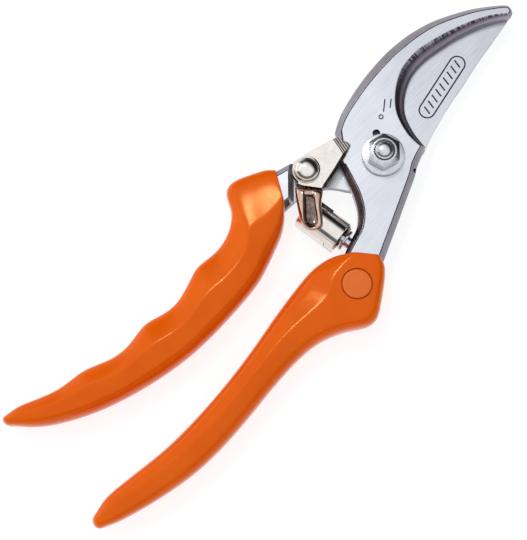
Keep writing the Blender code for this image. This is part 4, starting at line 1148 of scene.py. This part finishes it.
# Stations along the strap: distance from the rivet, slant, height of the rims, depth of the trough,
# then across the strap the left edge, the trough's two edges and the right edge, and the heights of the
# left and right edges.
STRAP_STATIONS = [
    (2.8, 0.0, 8.6, 0.0, -3.3, -1.6, 1.6, 3.3, 8.45, 8.45),
    (4.0, 0.06, 8.9, 0.0, -3.7, -1.6, 1.7, 3.9, 8.6, 8.6),
    (4.9, 0.12, 10.6, 0.05, -4.1, -1.6, 1.7, 4.4, 9.9, 9.9),
    (5.7, 0.15, 12.3, 0.1, -4.3, -1.7, 1.8, 4.7, 11.3, 11.3),
    (6.3, 0.15, 13.7, 0.15, -4.4, -1.7, 1.8, 4.8, 12.3, 12.3),
    (7.1, 0.15, 14.4, 0.15, -4.4, -1.75, 1.8, 4.7, 12.5, 12.7),
    (8.3, 0.12, 14.5, 0.45, -4.4, -1.8, 1.8, 4.5, 12.5, 12.9),
    (9.1, 0.10, 14.5, 1.2, -4.35, -1.85, 1.85, 4.3, 12.45, 12.9),
    (10.0, 0.08, 14.5, 1.25, -4.3, -1.9, 1.9, 4.1, 12.4, 12.9),
    (12.5, 0.04, 14.5, 1.25, -4.1, -2.1, 2.0, 3.85, 12.2, 12.9),
    (15.0, 0.0, 14.5, 1.25, -3.75, -2.3, 2.2, 3.85, 11.9, 12.9),
    (17.0, 0.0, 14.45, 1.2, -3.35, -2.3, 2.3, 3.9, 11.3, 12.9),
    (18.3, 0.0, 14.4, 1.0, -2.8, -1.8, 2.1, 3.85, 11.3, 12.9),
    (19.1, 0.0, 14.3, 0.45, -2.2, -1.2, 1.7, 3.5, 11.6, 12.9),
    (19.8, 0.0, 14.1, 0.05, -1.4, -0.6, 1.2, 2.7, 12.0, 12.9),
    (20.2, 0.0, 13.7, 0.0, -0.7, -0.2, 0.8, 1.7, 12.6, 12.9),
]
SHEET = 0.42
# The strap's quads between these edges round a section, and these rings, are the floor of its trough, painted
# dark for the dark reflection in it.
TROUGH_EDGES = range(4, 8)
TROUGH_RINGS = range(6, 12)
STRAP_END = (-34.8, -1.5)
STEPS_PER_TURN = 28


def strap_ring(station):
    """A section of the strap: over the two rims and through the trough, then back along the
    underside."""
    along, slant, high, depth, left, near, far, right, low_left, low_right = station
    middle = (near + far) / 2
    shelf_left, shelf_right = min(0.55, (near - left) * 0.45), min(0.6, (right - far) * 0.4)
    over = [(left, low_left), (left + shelf_left * 0.7, low_left + (high - low_left) * 0.62),
            (near - shelf_left, high - 0.04), (near - 0.12, high - 0.05), (near + 0.28, high - depth * 0.6),
            (near + 0.75, high - depth * 0.95), (middle, high - depth), (far - 0.75, high - depth * 0.95),
            (far - 0.28, high - depth * 0.6), (far + 0.12, high - 0.05), (far + shelf_right, high),
            (right - 0.45, high - 0.22), (right - 0.08, low_right + (high - low_right) * 0.45),
            (right, low_right)]
    under = [(right - 0.4, low_right - 0.02), (right - 0.8, max(high - depth - SHEET, low_right)),
             (middle + 0.6, high - depth - SHEET), (middle - 0.6, high - depth - SHEET),
             (left + 1.0, min(high - depth - SHEET, low_left + 1.2)), (left + 0.4, low_left - 0.02)]
    return [(along + slant * across, across, z) for across, z in over + under]


class SHEARS_OT_spring(bpy.types.Operator):
    """Model the strap, the sleeve, the guide, the coil spring and its seat"""

    bl_idname = "shears.spring"
    bl_label = "Spring"

    def execute(self, context):
        chosen = context.scene.shears_fittings
        found = fitting_finishes()
        nickel, wire, shade_painted = (found[name] for name in (
            "polished_nickel_plate", "oiled_spring_wire", "smoked_nickel_plate"))
        self.strap(found["nickel_over_copper"], shade_painted)
        self.sleeve(nickel, shade_painted)
        start, way = SPRING_FROM, SPRING_WAY
        foot, end = GUIDE_FOOT, SEAT_AT
        guide = spun([(0, 13.8), (1.6, 13.7), (2.0, 13.3), (2.1, 12.9), (2.1, foot + FLANGE),
                      (4.4, foot + FLANGE), (4.5, foot + 0.7), (4.5, foot), (0, foot)], 56, start, way)
        hand_over("spring_guide_turned", guide, [wire], "blade_side", "spring_guide", 30)
        seat = spun([(0, end + 3.6), (1.6, end + 3.6), (1.9, end + 3.3), (1.9, end), (3.5, end),
                     (3.8, end - 0.25),
                     (3.8, end - 0.6), (3.6, end - FLANGE), (2.1, end - FLANGE), (2.1, end - 2.1),
                     (1.8, end - 2.4),
                     (0, end - 2.4)], 56, start, way)
        hand_over("spring_seat_turned", seat, [found["bright_zinc_plate"]], "hook_side", "spring_seat",
                  30)
        self.coil(chosen, wire)
        return {"FINISHED"}

    def strap(self, nickel, shade_painted):
        """A deep-drawn strap: a round eye, then a trough with rolled rims and a round, closed end."""
        heading = Vector(STRAP_END) - Vector(RIVET_AT)
        turn = Matrix.Translation((*RIVET_AT, 0)) @ Matrix.Rotation(atan2(heading.y, heading.x), 4, "Z")
        low = BLADE_HIGH + GAP
        eye = spun([(3.7, low + 0.15), (3.55, low), (0, low), (0, low + 1.2), (3.5, low + 1.2),
                    (3.7, low + 1.0)], 72)
        rings = [strap_ring(station) for station in STRAP_STATIONS]
        # The trough's floor takes the painted reflection colour.
        trough = loft(rings, lambda ring, i: int(i in TROUGH_EDGES and ring in TROUGH_RINGS))
        body = carved(trough, [nickel, shade_painted], joined=[eye], levels=2)
        body.transform(turn)
        hole = rod(RIVET_HOLE, BLADE_HIGH - 2, BLADE_HIGH + 3, RIVET_AT)
        body = carved(body, [nickel, shade_painted], cut=[hole])
        hand_over("spring_strap", body, [nickel, shade_painted], "blade_side", "spring_bracket",
                  34)

    def sleeve(self, nickel, shade_painted):
        """A sleeve bent from sheet: a round top with flat sides, a bore for the coil and a tab folded
        over."""
        low, high, radius, bore = 2.9, 18.0, 5.4, 4.9
        top = [(radius * cos(radians(a)), radius * sin(radians(a))) for a in range(0, 181, 5)]
        foot = [(-radius, -3.9), (-radius + 0.45, -4.95), (-radius + 1.5, -5.4),
                (radius - 1.5, -5.4), (radius - 0.45, -4.95), (radius, -3.9)]
        shell = extruded([(across, up, low) for across, up in top + foot], (0, 0, high - low))
        soften(shell, 0.22, 3, 50, lambda e: abs(e.verts[0].co.z - e.verts[1].co.z) < 0.01)
        inside = rod(bore, low + 0.5, high + 3, sides=96)
        soften(inside, 0.2, 2, 60)
        tab = block((0.75, 1.7, 5.2), Matrix.Rotation(radians(37), 4, "Z")
                    @ Matrix.Translation((radius + 0.12, 0, 8.4)))
        soften(tab, 0.2, 2, 60)
        slot = block((0.5, 7.6, 0.22), Matrix.Translation((-radius, -1.5, 14.6)))
        # The bore, the slot and the tab take the painted shade colour.
        cup = carved(shell, [nickel, shade_painted], cut=(dyed(inside, 1), dyed(slot, 1)), joined=[dyed(tab, 1)])
        across = Vector((-SPRING_WAY.y, SPRING_WAY.x, 0))
        cup.transform(Matrix.Translation(SPRING_FROM)
                      @ Matrix((across, (0, 0, 1), SPRING_WAY)).transposed().to_4x4())
        hand_over("spring_sleeve_bent", cup, [nickel, shade_painted], "blade_side", "spring_sleeve",
                  24,
                  steady=True)

    def coil(self, chosen, wire):
        """The coil: a round section spun along the axis, with its last turn at each end closed up."""
        low, high = GUIDE_FOOT + FLANGE + GAP + chosen.wire, SEAT_AT - FLANGE - GAP - chosen.wire
        radius = COIL_REACH - chosen.wire
        bm = bmesh.new()
        made = bmesh.ops.create_circle(bm, cap_ends=False, segments=12, radius=chosen.wire,
                                       matrix=Matrix.Translation((radius, 0, low))
                                       @ Matrix.Rotation(pi / 2, 4, "X"))
        loop = made["verts"] + list({e for v in made["verts"] for e in v.link_edges})
        bmesh.ops.contextual_create(bm, geom=[e for e in loop if isinstance(e, bmesh.types.BMEdge)])
        closed = 2.15 * chosen.wire
        pitch = (high - low - 2 * closed) / (chosen.turns - 2)
        for rise, turns in ((closed, 1), (pitch, chosen.turns - 2), (closed, 1)):
            steps = STEPS_PER_TURN * turns
            spun_on = bmesh.ops.spin(bm, geom=loop, cent=(0, 0, 0), axis=(0, 0, 1), angle=2 * pi * turns,
                                     dvec=(0, 0, rise * turns / steps), steps=steps, use_merge=False)
            loop = [g for g in spun_on["geom_last"] if not isinstance(g, bmesh.types.BMFace)]
        bmesh.ops.contextual_create(bm, geom=[e for e in loop if isinstance(e, bmesh.types.BMEdge)])
        bmesh.ops.recalc_face_normals(bm, faces=bm.faces)
        bm.transform(TO_SPRING)
        start, end = (SPRING_FROM + SPRING_WAY * along for along in (low + 1, high))
        stretch = (("blade_side", "hook_side"), start, end)
        hand_over("coil_spring_wound", bm, [wire], stretch, "coil_spring", 60)


# ---- The stage -----------------------------------------------------------------------------------


def aim(thing, target):
    """Turns a lamp or a camera to look at a point."""
    thing.rotation_euler = (Vector(target) - thing.location).to_track_quat("-Z", "Y").to_euler()


# The room's light, as (sine of the height over the table, level).
DOME = ((0.0, 0.6), (0.25, 0.9), (0.42, 0.14), (0.66, 0.16), (0.80, 1.08), (1.0, 1.18))
# Name, place and side of each, in metres.
SOFTBOXES = (("key_softbox", (0.14, 0.44, 0.89), 0.12), ("side_softbox", (-0.30, 0.75, 0.45), 0.8))


class SHEARS_OT_stage(bpy.types.Operator):
    """Set up the floor, the lights and the camera"""

    bl_idname = "shears.stage"
    bl_label = "Stage"

    def execute(self, context):
        chosen = context.scene.shears_stage
        scene = context.scene
        scene.view_settings.view_transform = "Standard"

        ground = bmesh.new()
        bmesh.ops.create_grid(ground, x_segments=1, y_segments=1, size=3.0)
        mesh = bpy.data.meshes.new("floor")
        ground.to_mesh(mesh)
        ground.free()
        floor = bpy.data.objects.new("floor", mesh)
        scene.collection.objects.link(floor)
        paper = bpy.data.materials.new("matt_paper")
        paper.use_nodes = True
        shader = paper.node_tree.nodes["Principled BSDF"]
        shader.inputs["Base Color"].default_value = linear(chosen.floor)
        shader.inputs["Roughness"].default_value = 0.9
        shader.inputs["Specular IOR Level"].default_value = 0.1
        # The table is lit from below, so that shadows on it stay faint.
        shader.inputs["Emission Color"].default_value = (1.0, 1.0, 1.0, 1.0)
        shader.inputs["Emission Strength"].default_value = chosen.glow
        mesh.materials.append(paper)

        # A dome round the table: a pale ceiling, a darker band of walls, and a pale strip low down.
        world = bpy.data.worlds.new("room")
        scene.world = world
        world.use_nodes = True
        room = world.node_tree
        way = add(room, "ShaderNodeTexCoord").outputs["Generated"]
        height = add(room, "ShaderNodeSeparateXYZ", links={"Vector": way})
        stops = [(rise, (level, level, level * 1.03, 1.0)) for rise, level in DOME]
        dome = add(room, "ShaderNodeValToRGB", {"stops": stops}, {"Fac": height.outputs["Z"]})
        dome.color_ramp.interpolation = "EASE"
        # A black flag on the far side from the key gives polished metal its dark half.
        limits = {"From Min": 0.34, "From Max": 0.7, "To Min": 1.0, "To Max": 0.12}
        flag = add(room, "ShaderNodeMapRange", {"interpolation_type": "SMOOTHSTEP", **limits},
                   {"Value": height.outputs["X"]})
        shaded = add(room, "ShaderNodeVectorMath", {"operation": "SCALE"},
                     {0: dome.outputs["Color"], "Scale": flag.outputs[0]})
        sky = room.nodes["Background"]
        room.links.new(shaded.outputs[0], sky.inputs["Color"])
        sky.inputs["Strength"].default_value = chosen.room

        for (name, place, size), power in zip(SOFTBOXES, (chosen.key, chosen.fill)):
            lamp = bpy.data.lights.new(name, "AREA")
            lamp.shape = "SQUARE"
            lamp.size = size
            lamp.energy = power
            holder = bpy.data.objects.new(name, lamp)
            holder.location = place
            scene.collection.objects.link(holder)
            aim(holder, (0, 0, 0))

        camera = bpy.data.cameras.new("camera")
        camera.lens = chosen.lens
        camera.sensor_fit = "VERTICAL"
        camera.sensor_height = 36.0
        camera.clip_start = 0.01
        eye = bpy.data.objects.new("camera", camera)
        scene.collection.objects.link(eye)
        flat, up = chosen.azimuth, chosen.elevation
        looking = Vector((-sin(flat) * cos(up), cos(flat) * cos(up), -sin(up)))
        eye.location = Vector(chosen.target) - looking * chosen.distance
        aim(eye, chosen.target)
        scene.camera = eye
        return {"FINISHED"}


# ---- The add-on ----------------------------------------------------------------------------------

PIECE_OPERATORS = (SHEARS_OT_hook_half, SHEARS_OT_blade_half, SHEARS_OT_grips, SHEARS_OT_pivot,
                   SHEARS_OT_catch,
                   SHEARS_OT_spring, SHEARS_OT_stage)
SETTING_GROUPS = {"shears_steel": ShearsSteel, "shears_grips": ShearsGrips, "shears_fittings": ShearsFittings,
                  "shears_stage": ShearsStage}


class SHEARS_PT_panel(bpy.types.Panel):
    """Lists the settings and the pieces"""

    bl_idname = "SHEARS_PT_panel"
    bl_label = "Pruning shears"
    bl_space_type = "VIEW_3D"
    bl_region_type = "UI"
    bl_category = "Shears"

    def draw(self, context):
        for name, group in SETTING_GROUPS.items():
            box = self.layout.box()
            box.label(text=name.replace("shears_", "").capitalize())
            for key in group.__annotations__:
                box.prop(getattr(context.scene, name), key)
        for kind in PIECE_OPERATORS:
            self.layout.operator(kind.bl_idname)


def register():
    for group in (*SETTING_GROUPS.values(), *PIECE_OPERATORS, SHEARS_PT_panel):
        bpy.utils.register_class(group)
    for name, group in SETTING_GROUPS.items():
        setattr(bpy.types.Scene, name, PointerProperty(type=group))


def unregister():
    for name in SETTING_GROUPS:
        delattr(bpy.types.Scene, name)
    for group in (SHEARS_PT_panel, *PIECE_OPERATORS, *SETTING_GROUPS.values()):
        bpy.utils.unregister_class(group)


def main():
    register()
    for kind in PIECE_OPERATORS:
        getattr(bpy.ops.shears, kind.bl_idname.split(".")[1])()


if __name__ == "__main__":
    main()
